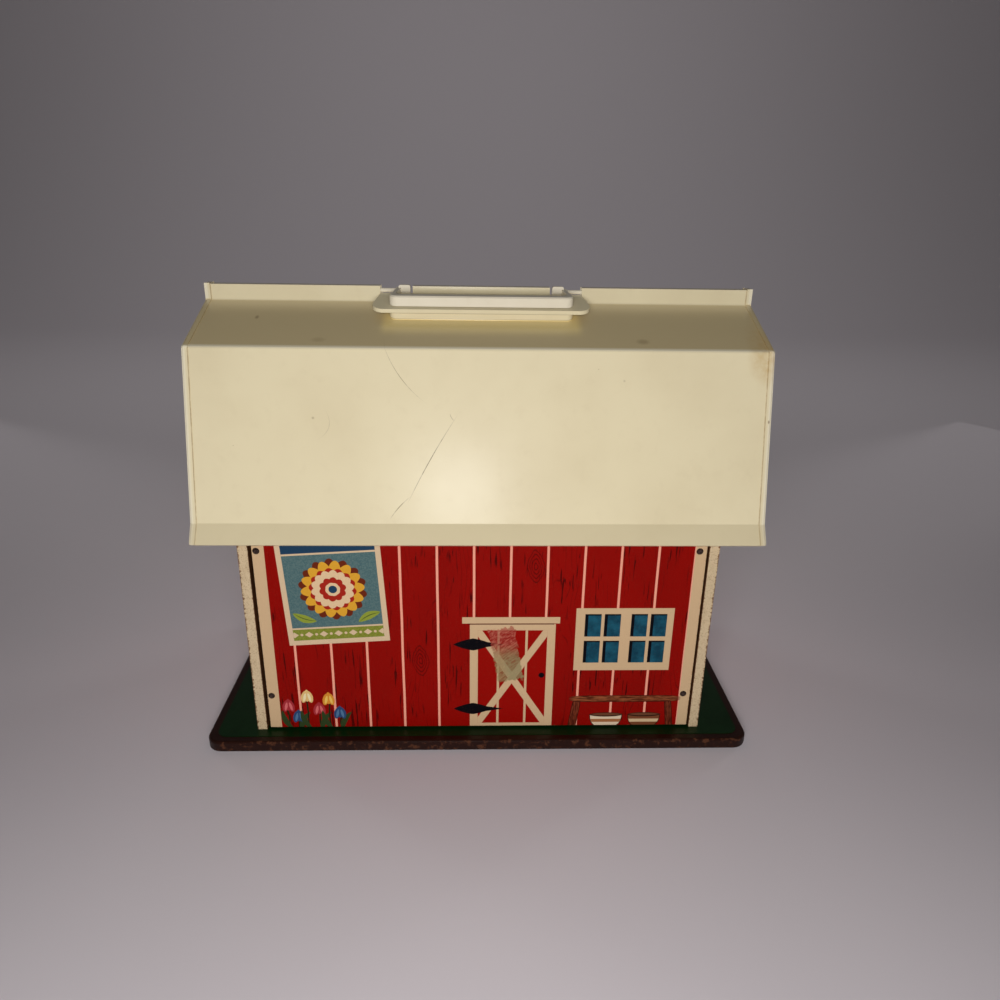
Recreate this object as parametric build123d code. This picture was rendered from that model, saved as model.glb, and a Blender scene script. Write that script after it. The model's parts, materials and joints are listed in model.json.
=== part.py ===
from build123d import *
import math
import os

# A toy barn that folds open, in millimetres.
# The origin is the middle of the base's underside. +X is to the right when the closed back wall is
# looked at, +Y goes from that back wall to the doors, and +Z is up. Left and right are -X and +X.
# Heights are above the printed floor, and reaches are distances from the ridge plane, y = 0.

# Modelling allowances: how near counts as the same place, and how far a cut runs past a face
same_place = 0.01
past = 1.0
tall = 60.0

# Base
base_margin_x = 31.0
base_margin_y = 12.5
base_thickness = 7.4
base_corner_radius = 10.0
base_edge_ease = 1.0
sheet_thickness = 0.3
sheet_inset = 5.5

# House
house_length = 292.0
house_depth = 148.0
end_wall_thickness = 6.35
board_thickness = 3.2
gable_clearance = 1.0
tab_width = 26.0
tab_depth = 4.0
tab_spacing = 88.0
fit_gap = 0.1

# Long walls and the frame behind them
panel_under_flare = 2.5
panel_lift = 1.3
panel_edge_round = 1.0
gap_left = 2.2
gap_right = 1.5
front_gap = 0.3
post_width = 12.0
post_depth = 12.0
post_over_screw = 5.5
rail_width = 12.0
rail_inset = 3.5

# Roof halves
end_overhang = 24.0
roof_wall = 2.6
parting_gap = 0.3
flange_thickness = 4.0
flange_rise = 9.4
slope_top_height = 267.8
break_reach = 55.0
break_height = 247.6
flare_out = 3.0
flare_height = 148.5
eave_out = 10.0
eave_drop = 10.8
eave_corner_radius = 3.0
break_radius = 1.9
flare_radius = 1.6
under_break_radius = 1.0
flange_root_radius = 1.6
end_band_width = 3.4
end_band_rise = 0.6
end_band_round = 1.5
end_lip_depth = 4.5
end_lip_thickness = 2.4
rib_depth = 4.0
rib_thickness = 1.8
rib_spacing = 66.0
rib_count = 4
rib_clearance = 3.0
ear_thickness = 2.4
ear_width = 15.0
ear_drop = 12.0
ear_rise = 26.0

# Ledge under the carry handle
ledge_reach = 27.0
ledge_rise = 5.3
ledge_slope = 17.0
ledge_thickness = 2.2
ledge_half_back = 61.0
ledge_half_front = 67.6
ledge_corner = 7.0
boss_reach = 24.8
boss_half = 55.4
boss_corner = 4.0
boss_wall = 2.2
notch_inner = 42.6
notch_outer = 62.6
notch_depth = 5.3

# Carry handle
handle_reach = 23.8
handle_half_front = 56.3
handle_half_back = 52.8
handle_corner = 4.5
handle_bar_depth = 5.0
handle_bar_height = 6.0
handle_arm_width = 3.6
handle_wall = 1.5
handle_edge_ease = 0.8
handle_lift = 0.3
handle_barrel_radius = 2.0
handle_axis_drop = 2.7
lug_inner = 44.1
lug_outer = 51.3
lug_rise = 3.4
lug_depth = 4.0
lug_round = 1.3
trunnion_radius = 1.35
trunnion_depth = 2.8
trunnion_end_gap = 0.4
running_gap = 0.06

# Fold pivots
pivot_inset = 6.5
pivot_height = 18.3
pivot_radius = 1.6
pivot_depth = 9.0
pivot_head_radius = 3.6
pivot_crown_radius = 2.4
pivot_head_height = 1.5

# Nails with a square shank, and hexagon-headed screws
nail_width = 1.8
nail_head_radius = 2.2
nail_crown_radius = 1.3
nail_head_height = 0.9
nail_length = 11.0
nail_low = 26.3
nail_high = 129.3
nail_inset_left = 2.65
nail_inset_right = 4.4
screw_radius = 1.4
screw_head_radius = 2.9
screw_head_height = 1.7
screw_bite = 8.0
roof_screw_rise = 5.5
pilot_gap = 0.02
hole_end_gap = 0.5

# Loft
loft_height = 108.5
loft_reach = 6.0
cleat_width = 8.0
cleat_height = 8.0
header_drop = 6.0
header_depth = 8.0

# Doorway and doors
doorway_width = 104.0
doorway_height = 94.0
door_gap = 0.8
door_lift = 1.3
door_corner = 1.0
hinge_low = 15.0
hinge_high = 76.0
hinge_height = 12.0
eye_radius = 1.5
eye_height = 6.8
eye_gap = 0.15
pintle_radius = 0.8
leaf_thickness = 0.6
leaf_length = 9.0
strap_length = 30.0
strap_width = 10.0
strap_neck = 4.4
strap_spear_start = 10.5
strap_spear_shoulder = 18.5
knob_radius = 3.8
knob_rise = 6.0
knob_neck_radius = 1.9
knob_crown_radius = 2.2
knob_inset = 8.0
knob_height = 47.0

# Values worked out from the sizes above
floor_z = base_thickness + sheet_thickness
base_length = house_length + 2 * base_margin_x
base_depth = house_depth + 2 * base_margin_y
eave_height = flare_height - eave_drop
roof_screw_height = flare_height + roof_screw_rise
post_height = roof_screw_height + post_over_screw
wall_reach = house_depth / 2
wall_inner_x = house_length / 2 - end_wall_thickness
board_inner_reach = wall_reach - board_thickness
post_inner_reach = board_inner_reach - post_depth
roof_half_length = house_length / 2 + end_overhang
parting = parting_gap / 2
flange_face = parting + flange_thickness
slope_top_z = floor_z + slope_top_height
flange_top_z = slope_top_z + flange_rise
panel_bottom_z = floor_z + panel_lift
panel_top_z = floor_z + flare_height - panel_under_flare
panel_left_x = -wall_inner_x + gap_left
panel_right_x = wall_inner_x - gap_right
pivot_y = -(wall_reach - pivot_inset)
pivot_z = floor_z + pivot_height
handle_axis_reach = parting + handle_barrel_radius
handle_axis_z = flange_top_z - handle_axis_drop
door_hinge_y = wall_reach + eye_radius
X_AXIS = (1, 0, 0)

# The roof's outer line, from the flange's foot down to the eave, as (reach, height in z)
roof_line = [
    (flange_face, slope_top_z),
    (break_reach, floor_z + break_height),
    (wall_reach + flare_out, floor_z + flare_height),
    (wall_reach + eave_out, floor_z + eave_height),
]


def crossing(line_a, line_b):
    """The point where two straight lines meet."""
    (x1, y1), (x2, y2) = line_a
    (x3, y3), (x4, y4) = line_b
    turn = (x1 - x2) * (y3 - y4) - (y1 - y2) * (x3 - x4)
    a = x1 * y2 - y1 * x2
    b = x3 * y4 - y3 * x4
    return ((a * (x3 - x4) - (x1 - x2) * b) / turn, (a * (y3 - y4) - (y1 - y2) * b) / turn)


def beside(points, distance):
    """A line of mitred corners that runs beside the given one, above it where distance is positive."""
    sides = []
    for (u0, z0), (u1, z1) in zip(points, points[1:]):
        length = math.hypot(u1 - u0, z1 - z0)
        du, dz = -(z1 - z0) / length * distance, (u1 - u0) / length * distance
        sides.append(((u0 + du, z0 + dz), (u1 + du, z1 + dz)))
    inner = [crossing(a, b) for a, b in zip(sides, sides[1:])]
    return [sides[0][0]] + inner + [sides[-1][1]]


def height_over(line, reach):
    """The height of a line's first stretch at a reach."""
    return crossing(line[:2], ((reach, 0), (reach, 1)))[1]


def reach_beside(line, z):
    """The reach of a line's steep stretch at a height."""
    return crossing(line[1:3], ((0, z), (1, z)))[0]


def side_face(points, side=1):
    """A face in the Y-Z plane from (reach, height) points, on the +Y or the -Y side."""
    return Plane.YZ * Polygon(*[(side * u, z) for u, z in points], align=None)


def rounded_at(face, points, radius, side=1):
    """The same face with the corners at some points rounded."""
    corners = [
        v for v in face.vertices()
        if any(math.hypot(v.Y - side * u, v.Z - z) < same_place for u, z in points)
    ]
    return fillet(corners, radius)


def across(face, low_x, high_x):
    """A prism of a Y-Z face between two places along X."""
    return Pos(low_x, 0, 0) * extrude(face, high_x - low_x, dir=X_AXIS)


def standing(plan, low_z, high_z):
    """A prism of a plan between two heights."""
    return Pos(0, 0, low_z) * extrude(plan, high_z - low_z, dir=(0, 0, 1))


def box(low, high):
    """A box between two corners."""
    size = [b - a for a, b in zip(low, high)]
    middle = [(a + b) / 2 for a, b in zip(low, high)]
    return Pos(*middle) * Box(*size)


def turned(points, at, direction):
    """A solid turned from (radius, along) points, its axis through a place in a direction."""
    face = Plane.XZ * Polygon(*points, align=None)
    return Plane(origin=at, z_dir=direction) * revolve(face, Axis.Z)


def rod(at, direction, radius, length):
    """A plain cylinder that starts at a place and runs in a direction."""
    return turned([(0, 0), (radius, 0), (radius, length), (0, length)], at, direction)


def square_rod(at, direction, width, length):
    """A square bar that starts at a place and runs in a direction."""
    return Plane(origin=at, z_dir=direction) * Pos(0, 0, length / 2) * Box(width, width, length)


def nail(at, direction):
    """A cut nail with a round crowned head, which rests on a face at a place."""
    head = [(0, -nail_head_height), (nail_crown_radius, -nail_head_height), (nail_head_radius, 0), (0, 0)]
    return turned(head, at, direction) + square_rod(at, direction, nail_width, nail_length)


def screw(at, direction, length):
    """A hexagon-headed screw whose head rests on a face at a place."""
    hexagon = extrude(RegularPolygon(screw_head_radius, 6), -screw_head_height)
    return Plane(origin=at, z_dir=direction) * hexagon + rod(at, direction, screw_radius, length)


# Where the fasteners go, as (place, direction), worked out once for the pieces and their holes
post_sides = {
    "back_left": (panel_left_x, 1),
    "back_right": (panel_right_x, -1),
    "front_left": (-wall_inner_x, 1),
    "front_right": (wall_inner_x, -1),
}
panel_nail_x = [panel_left_x + nail_inset_left, panel_right_x - nail_inset_right]
nail_heights = [floor_z + nail_low, floor_z + nail_high]
panel_nail_places = [((x, -wall_reach, z), (0, 1, 0)) for x in panel_nail_x for z in nail_heights]
wall_nail_places = [((x, wall_reach, z), (0, -1, 0)) for x in panel_nail_x for z in nail_heights]


def roof_screw_places(side, posts):
    """The screws that go through a roof half's ears into its two posts."""
    y, z = side * (board_inner_reach - post_depth / 2), floor_z + roof_screw_height
    return [((x + inward * (post_width + ear_thickness), y, z), (-inward, 0, 0)) for x, inward in posts]


back_posts = [post_sides["back_left"], post_sides["back_right"]]
front_posts = [post_sides["front_left"], post_sides["front_right"]]
back_roof_screw_places = roof_screw_places(-1, back_posts)
front_roof_screw_places = roof_screw_places(1, front_posts)


def nail_holes(places, depth):
    """The holes that a set of nails goes into."""
    return [square_rod(at, way, nail_width + 2 * pilot_gap, depth) for at, way in places]


def screw_holes(places, depth):
    """The holes that a set of screws goes into."""
    return [rod(at, way, screw_radius + pilot_gap, depth) for at, way in places]


def roof_section(side, below, above=0.0):
    """The moulding's section, from below its outer line to above it, with its ridge flange."""
    outer = beside(roof_line, above) if above else roof_line
    inner = beside(roof_line, -below)
    ridge = (parting, height_over(inner, parting))
    top = flange_top_z + above
    flange = [(parting, top), (flange_face + above, top)]
    root = crossing(outer[:2], ((flange_face + above, 0), (flange_face + above, 1)))
    points = flange + [root] + outer[1:] + [inner[3], inner[2], inner[1], ridge]
    face = side_face(points, side)
    face = rounded_at(face, [outer[1]], break_radius, side)
    face = rounded_at(face, [outer[2]], flare_radius, side)
    face = rounded_at(face, [inner[1]], under_break_radius, side)
    face = rounded_at(face, [inner[2]], flare_radius, side)
    return face if above else rounded_at(face, [root], flange_root_radius, side)


def end_band(side, end):
    """The rounded rim that stands a little proud round one end of the roof."""
    face = roof_section(side, roof_wall, end_band_rise)
    inside = end * (roof_half_length - end_band_width)
    outside = end * roof_half_length
    band = across(face, min(inside, outside), max(inside, outside))
    outer = beside(roof_line, end_band_rise)
    rim = [
        e for e in band.edges()
        if abs(e.center().X - outside) < same_place and on_line(outer, side * e.center().Y, e.center().Z)
    ]
    return fillet(rim, end_band_round)


def on_line(line, reach, z):
    """Whether a place lies on one of a line's stretches."""
    gaps = []
    for (u0, z0), (u1, z1) in zip(line, line[1:]):
        stray = math.hypot(reach - u0, z - z0) + math.hypot(reach - u1, z - z1) - math.hypot(u1 - u0, z1 - z0)
        gaps.append(stray)
    return min(gaps) < 5 * same_place


def ear(side, x, inward):
    """A flat moulded ear that hangs behind the long wall, beside a post, and takes a screw."""
    middle = beside(roof_line, -roof_wall / 2)
    low, high = floor_z + roof_screw_height - ear_drop, floor_z + roof_screw_height + ear_rise
    over_board = panel_top_z + front_gap
    face_reach = board_inner_reach - front_gap
    near = board_inner_reach - (post_depth + ear_width) / 2
    points = [
        (face_reach, low),
        (near, low),
        (near, high - ear_width / 2),
        (reach_beside(middle, high), high),
        (reach_beside(middle, over_board), over_board),
        (face_reach, over_board),
    ]
    start = x + inward * post_width
    end = start + inward * ear_thickness
    return across(side_face(points, side), min(start, end), max(start, end))


def rib_points():
    """The section of a rib, which ends over the top edge of the board in the long wall."""
    middle = beside(roof_line, -roof_wall / 2)
    inner = beside(roof_line, -roof_wall - rib_depth)
    start = flange_face + rib_depth
    low = panel_top_z + rib_clearance
    return [
        (start, height_over(middle, start)),
        middle[1],
        (reach_beside(middle, low), low),
        (reach_beside(inner, low + rib_depth), low + rib_depth),
        inner[1],
        (start, height_over(inner, start) + rib_depth / 2),
    ]


def lip_points():
    """The section of the lip that stands inwards round one end of the shell."""
    middle = beside(roof_line, -roof_wall / 2)
    inner = beside(roof_line, -roof_wall - end_lip_depth)
    start = flange_face + end_lip_depth
    eave_reach, eave_z = middle[3]
    inner_reach, inner_z = inner[3]
    return [
        (start, height_over(middle, start)),
        middle[1],
        middle[2],
        (eave_reach - roof_wall / 4, eave_z + roof_wall / 2),
        (inner_reach + end_lip_depth / 2, inner_z + roof_wall),
        inner[2],
        inner[1],
        (start, height_over(inner, start) + end_lip_depth / 2),
    ]


def eave_corner(side, end):
    """What is cut away to round the lower corner at one end of the eave."""
    low_z = beside(roof_line, -roof_wall)[3][1]
    inside, outside = sorted((end * (roof_half_length - eave_corner_radius), end * (roof_half_length + past)))
    y_low, y_high = sorted((0, side * (wall_reach + eave_out + tall)))
    block = box((inside, y_low, low_z - past), (outside, y_high, low_z + eave_corner_radius))
    middle = (end * (roof_half_length - eave_corner_radius), y_low, low_z + eave_corner_radius)
    return block - rod(middle, (0, 1, 0), eave_corner_radius, y_high - y_low)


def roof_half(side, posts, screw_places):
    """One moulded half of the gambrel roof: shell, flange, end bands, lips, ribs and ears."""
    shell = across(roof_section(side, roof_wall), -roof_half_length, roof_half_length)
    lip = across(side_face(lip_points(), side), -end_lip_thickness / 2, end_lip_thickness / 2)
    for end in (-1, 1):
        shell += end_band(side, end)
        shell += Pos(end * (roof_half_length - end_lip_thickness / 2), 0, 0) * lip
    rib = across(side_face(rib_points(), side), -rib_thickness / 2, rib_thickness / 2)
    for number in range(rib_count):
        shell += Pos((number - (rib_count - 1) / 2) * rib_spacing, 0, 0) * rib
    for x, inward in posts:
        shell += ear(side, x, inward)
    for hole in screw_holes(screw_places, ear_thickness):
        shell -= hole
    for end in (-1, 1):
        near, far = sorted((end * notch_inner, end * notch_outer))
        y_low, y_high = sorted((0, side * flange_face))
        shell -= box((near, y_low, flange_top_z - notch_depth), (far, y_high, flange_top_z + past))
        shell -= eave_corner(side, end)
    return shell


def ledge_top(reach):
    """The height of the ledge's top face at a reach."""
    return slope_top_z + ledge_rise - (reach - flange_face) * math.tan(math.radians(ledge_slope))


def at_reach(shape, reach):
    """The corners of a plan that lie at a reach on the back side."""
    return [v for v in shape.vertices() if abs(v.Y + reach) < same_place]


def sloped_plate(half_back, half_front, reach, top, thickness, corner):
    """A plate that follows the ledge's slope, narrower at the ridge, with rounded front corners."""
    plan = Polygon(
        (-half_back, -parting), (half_back, -parting), (half_front, -reach), (-half_front, -reach),
        align=None)
    prism = standing(fillet(at_reach(plan, reach), corner), slope_top_z - tall, slope_top_z + tall)
    high = [(parting, ledge_top(parting) + top), (reach + past, ledge_top(reach + past) + top)]
    low = [(u, z - thickness) for u, z in reversed(high)]
    return prism & across(side_face(high + low, -1), -half_front - past, half_front + past)


def above_line(line, start, end):
    """A tall prism over a line's first stretch, from one reach to another on the back side."""
    corners = [(start, height_over(line, start)), (end, height_over(line, end)),
               (end, slope_top_z + tall), (start, slope_top_z + tall)]
    return across(side_face(corners, -1), -roof_half_length, roof_half_length)


def handle_ledge():
    """The plate that the handle lies on, with the boss that carries it."""
    plate = sloped_plate(ledge_half_back, ledge_half_front, ledge_reach, 0, ledge_thickness, ledge_corner)
    boss = sloped_plate(boss_half, boss_half, boss_reach, -ledge_thickness / 2, tall, boss_corner)
    return plate + (boss & above_line(beside(roof_line, -roof_wall / 2), parting, ledge_reach))


def ledge_core():
    """The hollow that is cored out of the boss from inside the roof."""
    half, reach = boss_half - boss_wall, boss_reach - boss_wall
    core = sloped_plate(half, half, reach, -ledge_thickness, tall, boss_corner - boss_wall / 2)
    under = beside(roof_line, -roof_wall - rib_depth - past)
    return core & above_line(under, flange_face + boss_wall / 2, ledge_reach)


def back_roof():
    """The roof half that carries the handle, with its ledge and the seats of the trunnions."""
    shell = roof_half(-1, back_posts, back_roof_screw_places) + handle_ledge() - ledge_core()
    for end in (-1, 1):
        near, far = sorted((end * notch_inner, end * notch_outer))
        shell -= box((near, -flange_face, flange_top_z - notch_depth), (far, 0, flange_top_z + past))
        seat_x = end * (notch_outer - past)
        seat_depth = past + trunnion_depth + trunnion_end_gap
        shell -= rod((seat_x, -handle_axis_reach, handle_axis_z), (end, 0, 0),
                     trunnion_radius + running_gap, seat_depth)
    return shell


def handle_plan():
    """The U-shaped plan of the folded handle."""
    back = handle_axis_reach
    outer = Polygon(
        (-handle_half_back, -back), (handle_half_back, -back),
        (handle_half_front, -handle_reach), (-handle_half_front, -handle_reach), align=None)
    inner_reach = handle_reach - handle_bar_depth
    inner_back = handle_half_back - handle_arm_width
    inner_front = handle_half_front - handle_arm_width
    inner = Polygon(
        (-inner_back, 0), (inner_back, 0), (inner_front, -inner_reach), (-inner_front, -inner_reach),
        align=None)
    outer = fillet(at_reach(outer, handle_reach), handle_corner)
    return outer - fillet(at_reach(inner, inner_reach), handle_corner - handle_wall)


def carry_handle():
    """The folding handle: a hollow bar and two arms, with lugs and trunnions at the ridge."""
    bottom = ledge_top(handle_reach) + handle_lift
    top = bottom + handle_bar_height
    root = flange_face + past
    side_points = [
        (handle_reach, bottom),
        (handle_reach, top),
        (handle_axis_reach, handle_axis_z + handle_barrel_radius),
        (handle_axis_reach, handle_axis_z - handle_lift),
        (root, ledge_top(root) + handle_lift),
    ]
    profile = across(side_face(side_points, -1), -handle_half_front, handle_half_front)
    body = profile & standing(handle_plan(), slope_top_z - tall, slope_top_z + tall)
    rim = [e for e in body.edges().filter_by(Axis.X)
           if abs(e.center().Y + handle_reach) < same_place and abs(e.center().Z - top) < same_place]
    body = chamfer(rim, handle_edge_ease)
    channel_half = handle_half_front - handle_arm_width - handle_corner
    body -= box((-channel_half, handle_wall - handle_reach, bottom - past),
                (channel_half, handle_bar_depth - handle_wall - handle_reach, top - handle_wall))
    for end in (-1, 1):
        body += handle_pivot(end)
    return body


def handle_pivot(end):
    """The barrel, lug and trunnion at one end of the handle."""
    y = -handle_axis_reach
    barrel = rod((end * lug_inner, y, handle_axis_z), (end, 0, 0), handle_barrel_radius,
                 handle_half_back - lug_inner)
    low, high = sorted((end * lug_inner, end * lug_outer))
    lug = box((low, y - lug_depth / 2, handle_axis_z), (high, y + lug_depth / 2, handle_axis_z + lug_rise))
    crown = [e for e in lug.edges().filter_by(Axis.Y) if e.center().Z > handle_axis_z + lug_rise / 2]
    trunnion = rod((end * lug_outer, y, handle_axis_z), (end, 0, 0), trunnion_radius,
                   notch_outer + trunnion_depth - lug_outer)
    return barrel + fillet(crown, lug_round) + trunnion


def end_wall(end):
    """A gambrel end wall with tabs that drop into the base, and a hole for its fold pivot."""
    gable = beside(roof_line, -roof_wall - gable_clearance)
    half = [(wall_reach, floor_z), (wall_reach, crossing(gable[1:3], ((wall_reach, 0), (wall_reach, 1)))[1]),
            gable[1], (0, height_over(gable, 0))]
    low, high = sorted((end * house_length / 2, end * wall_inner_x))
    wall = across(side_face(half + [(-u, z) for u, z in reversed(half[:3])]), low, high)
    for place in (-1, 1):
        middle = place * tab_spacing / 2
        wall += box((low, middle - tab_width / 2, floor_z - sheet_thickness - tab_depth),
                    (high, middle + tab_width / 2, floor_z))
    return wall - rod((low, pivot_y, pivot_z), X_AXIS, pivot_radius, end_wall_thickness)


def tab_slots(bottom, top):
    """The slots that the end walls' tabs drop into."""
    slots = []
    for end in (-1, 1):
        middle_x = end * (house_length - end_wall_thickness) / 2
        half_x = end_wall_thickness / 2 + fit_gap
        for place in (-1, 1):
            middle_y = place * tab_spacing / 2
            half_y = tab_width / 2 + fit_gap
            slots.append(box((middle_x - half_x, middle_y - half_y, bottom),
                             (middle_x + half_x, middle_y + half_y, top)))
    return slots


def base_board():
    """The hardboard base, with rounded corners and slots for the end walls' tabs."""
    board = extrude(RectangleRounded(base_length, base_depth, base_corner_radius), base_thickness)
    rim = [e for e in board.edges() if abs(e.center().Z - base_thickness) < same_place]
    board = chamfer(rim, base_edge_ease)
    for slot in tab_slots(base_thickness - tab_depth - fit_gap, base_thickness):
        board -= slot
    return board


def base_sheet():
    """The printed sheet that is glued to the base."""
    plan = RectangleRounded(base_length - 2 * sheet_inset, base_depth - 2 * sheet_inset,
                            base_corner_radius - sheet_inset / 2)
    sheet = Pos(0, 0, base_thickness) * extrude(plan, sheet_thickness)
    for slot in tab_slots(base_thickness, floor_z):
        sheet -= slot
    return sheet


def upright_board(low_x, high_x, low_z, high_z, side):
    """A flat board that stands in the plane of a long wall."""
    y_low, y_high = sorted((side * board_inner_reach, side * wall_reach))
    return box((low_x, y_low, low_z), (high_x, y_high, high_z))


def back_panel():
    """The printed panel that folds down, with its swinging lower edge rounded."""
    board = upright_board(panel_left_x, panel_right_x, panel_bottom_z, panel_top_z, -1)
    swinging = [e for e in board.edges().filter_by(Axis.X)
                if abs(e.center().Z - panel_bottom_z) < same_place
                and abs(e.center().Y + wall_reach) < same_place]
    board = fillet(swinging, panel_edge_round)
    for hole in nail_holes(panel_nail_places, nail_length):
        board -= hole
    return board


def front_wall():
    """The fixed long wall, with its doorway."""
    edge = wall_inner_x - front_gap
    board = upright_board(-edge, edge, floor_z, panel_top_z, 1)
    board -= box((-doorway_width / 2, 0, floor_z), (doorway_width / 2, base_depth, floor_z + doorway_height))
    for hole in nail_holes(wall_nail_places, nail_length):
        board -= hole
    return board


def back_post(x, inward):
    """A wooden post that turns on a fold pivot and carries the panel and the roof."""
    low, high = sorted((x, x + inward * post_width))
    post = box((low, -board_inner_reach, panel_bottom_z), (high, -post_inner_reach, floor_z + post_height))
    bore_depth = pivot_depth - abs(wall_inner_x - abs(x)) + hole_end_gap
    post -= rod((x, pivot_y, pivot_z), (inward, 0, 0), pivot_radius + running_gap, bore_depth)
    for hole in nail_holes(panel_nail_places, nail_length + hole_end_gap):
        post -= hole
    for hole in screw_holes(back_roof_screw_places, ear_thickness + screw_bite + hole_end_gap):
        post -= hole
    return post


def front_post(x, inward):
    """A fixed wooden post that the front wall is nailed to."""
    low, high = sorted((x, x + inward * post_width))
    post = box((low, post_inner_reach, floor_z), (high, board_inner_reach, floor_z + post_height))
    for hole in nail_holes(wall_nail_places, nail_length + hole_end_gap):
        post -= hole
    for hole in screw_holes(front_roof_screw_places, ear_thickness + screw_bite + hole_end_gap):
        post -= hole
    return post


def back_top_rail():
    """The rail that stiffens the folding panel between its posts."""
    low, high = panel_left_x + post_width, panel_right_x - post_width
    z = panel_top_z - rail_inset - rail_width
    return box((low, -board_inner_reach, z - rail_width), (high, -post_inner_reach, z))


def pivot_pin(end):
    """A headed pin that is fixed in an end wall and turns in a back post."""
    length = end_wall_thickness + pivot_depth
    points = [(0, -pivot_head_height), (pivot_crown_radius, -pivot_head_height), (pivot_head_radius, 0),
              (pivot_radius, 0), (pivot_radius, length), (0, length)]
    return turned(points, (end * house_length / 2, pivot_y, pivot_z), (-end, 0, 0))


def loft_floor():
    """The loft board, notched round the front posts, with rounded inner corners."""
    edge = wall_inner_x - front_gap
    low_z = floor_z + loft_height
    board = box((-edge, loft_reach, low_z), (edge, board_inner_reach - front_gap, low_z + board_thickness))
    corners = [e for e in board.edges().filter_by(Axis.Z) if abs(e.center().Y - loft_reach) < same_place]
    board = fillet(corners, base_corner_radius)
    for x, inward in front_posts:
        low, high = sorted((x, x + inward * (post_width + front_gap)))
        board -= box((low, post_inner_reach - front_gap, low_z), (high, base_depth, low_z + post_width))
    return board


def loft_cleat(end):
    """The strip on an end wall that carries the loft board."""
    low, high = sorted((end * wall_inner_x, end * (wall_inner_x - cleat_width)))
    z = floor_z + loft_height
    strip = box((low, loft_reach + cleat_width, z - cleat_height), (high, post_inner_reach, z))
    lower = strip.edges().filter_by(Axis.Y).sort_by(Axis.Z)[:2]
    inner = [e for e in lower if abs(e.center().X) < wall_inner_x - same_place]
    return chamfer(inner, cleat_width / 4)


def door_header():
    """The strip over the doorway that stops the doors and carries the loft board's front edge."""
    edge = wall_inner_x - post_width
    return box((-edge, board_inner_reach - header_depth, floor_z + doorway_height - header_drop),
               (edge, board_inner_reach, floor_z + loft_height))


def door(side):
    """One flat door leaf, with a hole for its knob."""
    low, high = sorted((side * (doorway_width / 2 - door_gap), side * door_gap / 2))
    leaf = upright_board(low, high, floor_z + door_lift, floor_z + doorway_height - door_gap, 1)
    leaf = chamfer(leaf.edges().filter_by(Axis.Y), door_corner)
    return leaf - rod((side * knob_inset, board_inner_reach, floor_z + knob_height), (0, 1, 0),
                      knob_neck_radius + pilot_gap, board_thickness)


def hinge_frame_leaf(side, height):
    """The plate beside the doorway, with the lug and the upright pintle that the strap hangs on."""
    axis_x = side * doorway_width / 2
    low_z = floor_z + height - hinge_height / 2
    lug_top = low_z + hinge_height - eye_height - eye_gap
    low, high = sorted((axis_x + side * (eye_radius + eye_gap), axis_x + side * leaf_length))
    leaf = box((low, wall_reach, low_z), (high, wall_reach + leaf_thickness, low_z + hinge_height))
    low, high = sorted((axis_x - side * pintle_radius, axis_x + side * leaf_length / 2))
    leaf += box((low, wall_reach, low_z), (high, door_hinge_y + pintle_radius, lug_top))
    return leaf + rod((axis_x, door_hinge_y, lug_top), (0, 0, 1), pintle_radius, eye_height + 2 * eye_gap)


def hinge_strap(side, height):
    """The spear-shaped strap on a door, with the eye that turns on the pintle."""
    axis_x = side * doorway_width / 2
    high_z = floor_z + height + hinge_height / 2
    low_z = high_z - eye_height
    middle_z = (low_z + high_z) / 2
    spear = [(0, strap_neck / 2), (strap_spear_start, strap_neck / 2),
             (strap_spear_shoulder, strap_width / 2), (strap_length, 0)]
    upper = [(axis_x - side * reach, middle_z + half) for reach, half in spear]
    lower = [(x, 2 * middle_z - z) for x, z in reversed(upper[:3])]
    outline = Plane.XZ.offset(-wall_reach) * Polygon(*upper, *lower, align=None)
    strap = extrude(outline, leaf_thickness, dir=(0, 1, 0))
    strap += rod((axis_x, door_hinge_y, low_z), (0, 0, 1), eye_radius, eye_height)
    return strap - rod((axis_x, door_hinge_y, low_z), (0, 0, 1), pintle_radius + running_gap, eye_height)


def door_knob(side):
    """A turned knob whose shank goes through its door."""
    points = [(0, -board_thickness), (knob_neck_radius, -board_thickness), (knob_neck_radius, knob_rise / 3),
              (knob_radius, 0.6 * knob_rise), (knob_crown_radius, knob_rise), (0, knob_rise)]
    return turned(points, (side * knob_inset, wall_reach, floor_z + knob_height), (0, 1, 0))


# The pieces, by the name of their node
parts = {
    "base_board": base_board(),
    "base_sheet": base_sheet(),
    "end_wall_left": end_wall(-1),
    "end_wall_right": end_wall(1),
    "front_wall": front_wall(),
    "front_post_left": front_post(*post_sides["front_left"]),
    "front_post_right": front_post(*post_sides["front_right"]),
    "front_roof": roof_half(1, front_posts, front_roof_screw_places),
    "loft_floor": loft_floor(),
    "loft_cleat_left": loft_cleat(-1),
    "loft_cleat_right": loft_cleat(1),
    "door_header": door_header(),
    "pivot_pin_left": pivot_pin(-1),
    "pivot_pin_right": pivot_pin(1),
    "back_panel": back_panel(),
    "back_post_left": back_post(*post_sides["back_left"]),
    "back_post_right": back_post(*post_sides["back_right"]),
    "back_top_rail": back_top_rail(),
    "back_roof": back_roof(),
    "carry_handle": carry_handle(),
    "door_left": door(-1),
    "door_right": door(1),
    "door_left_knob": door_knob(-1),
    "door_right_knob": door_knob(1),
}

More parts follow.
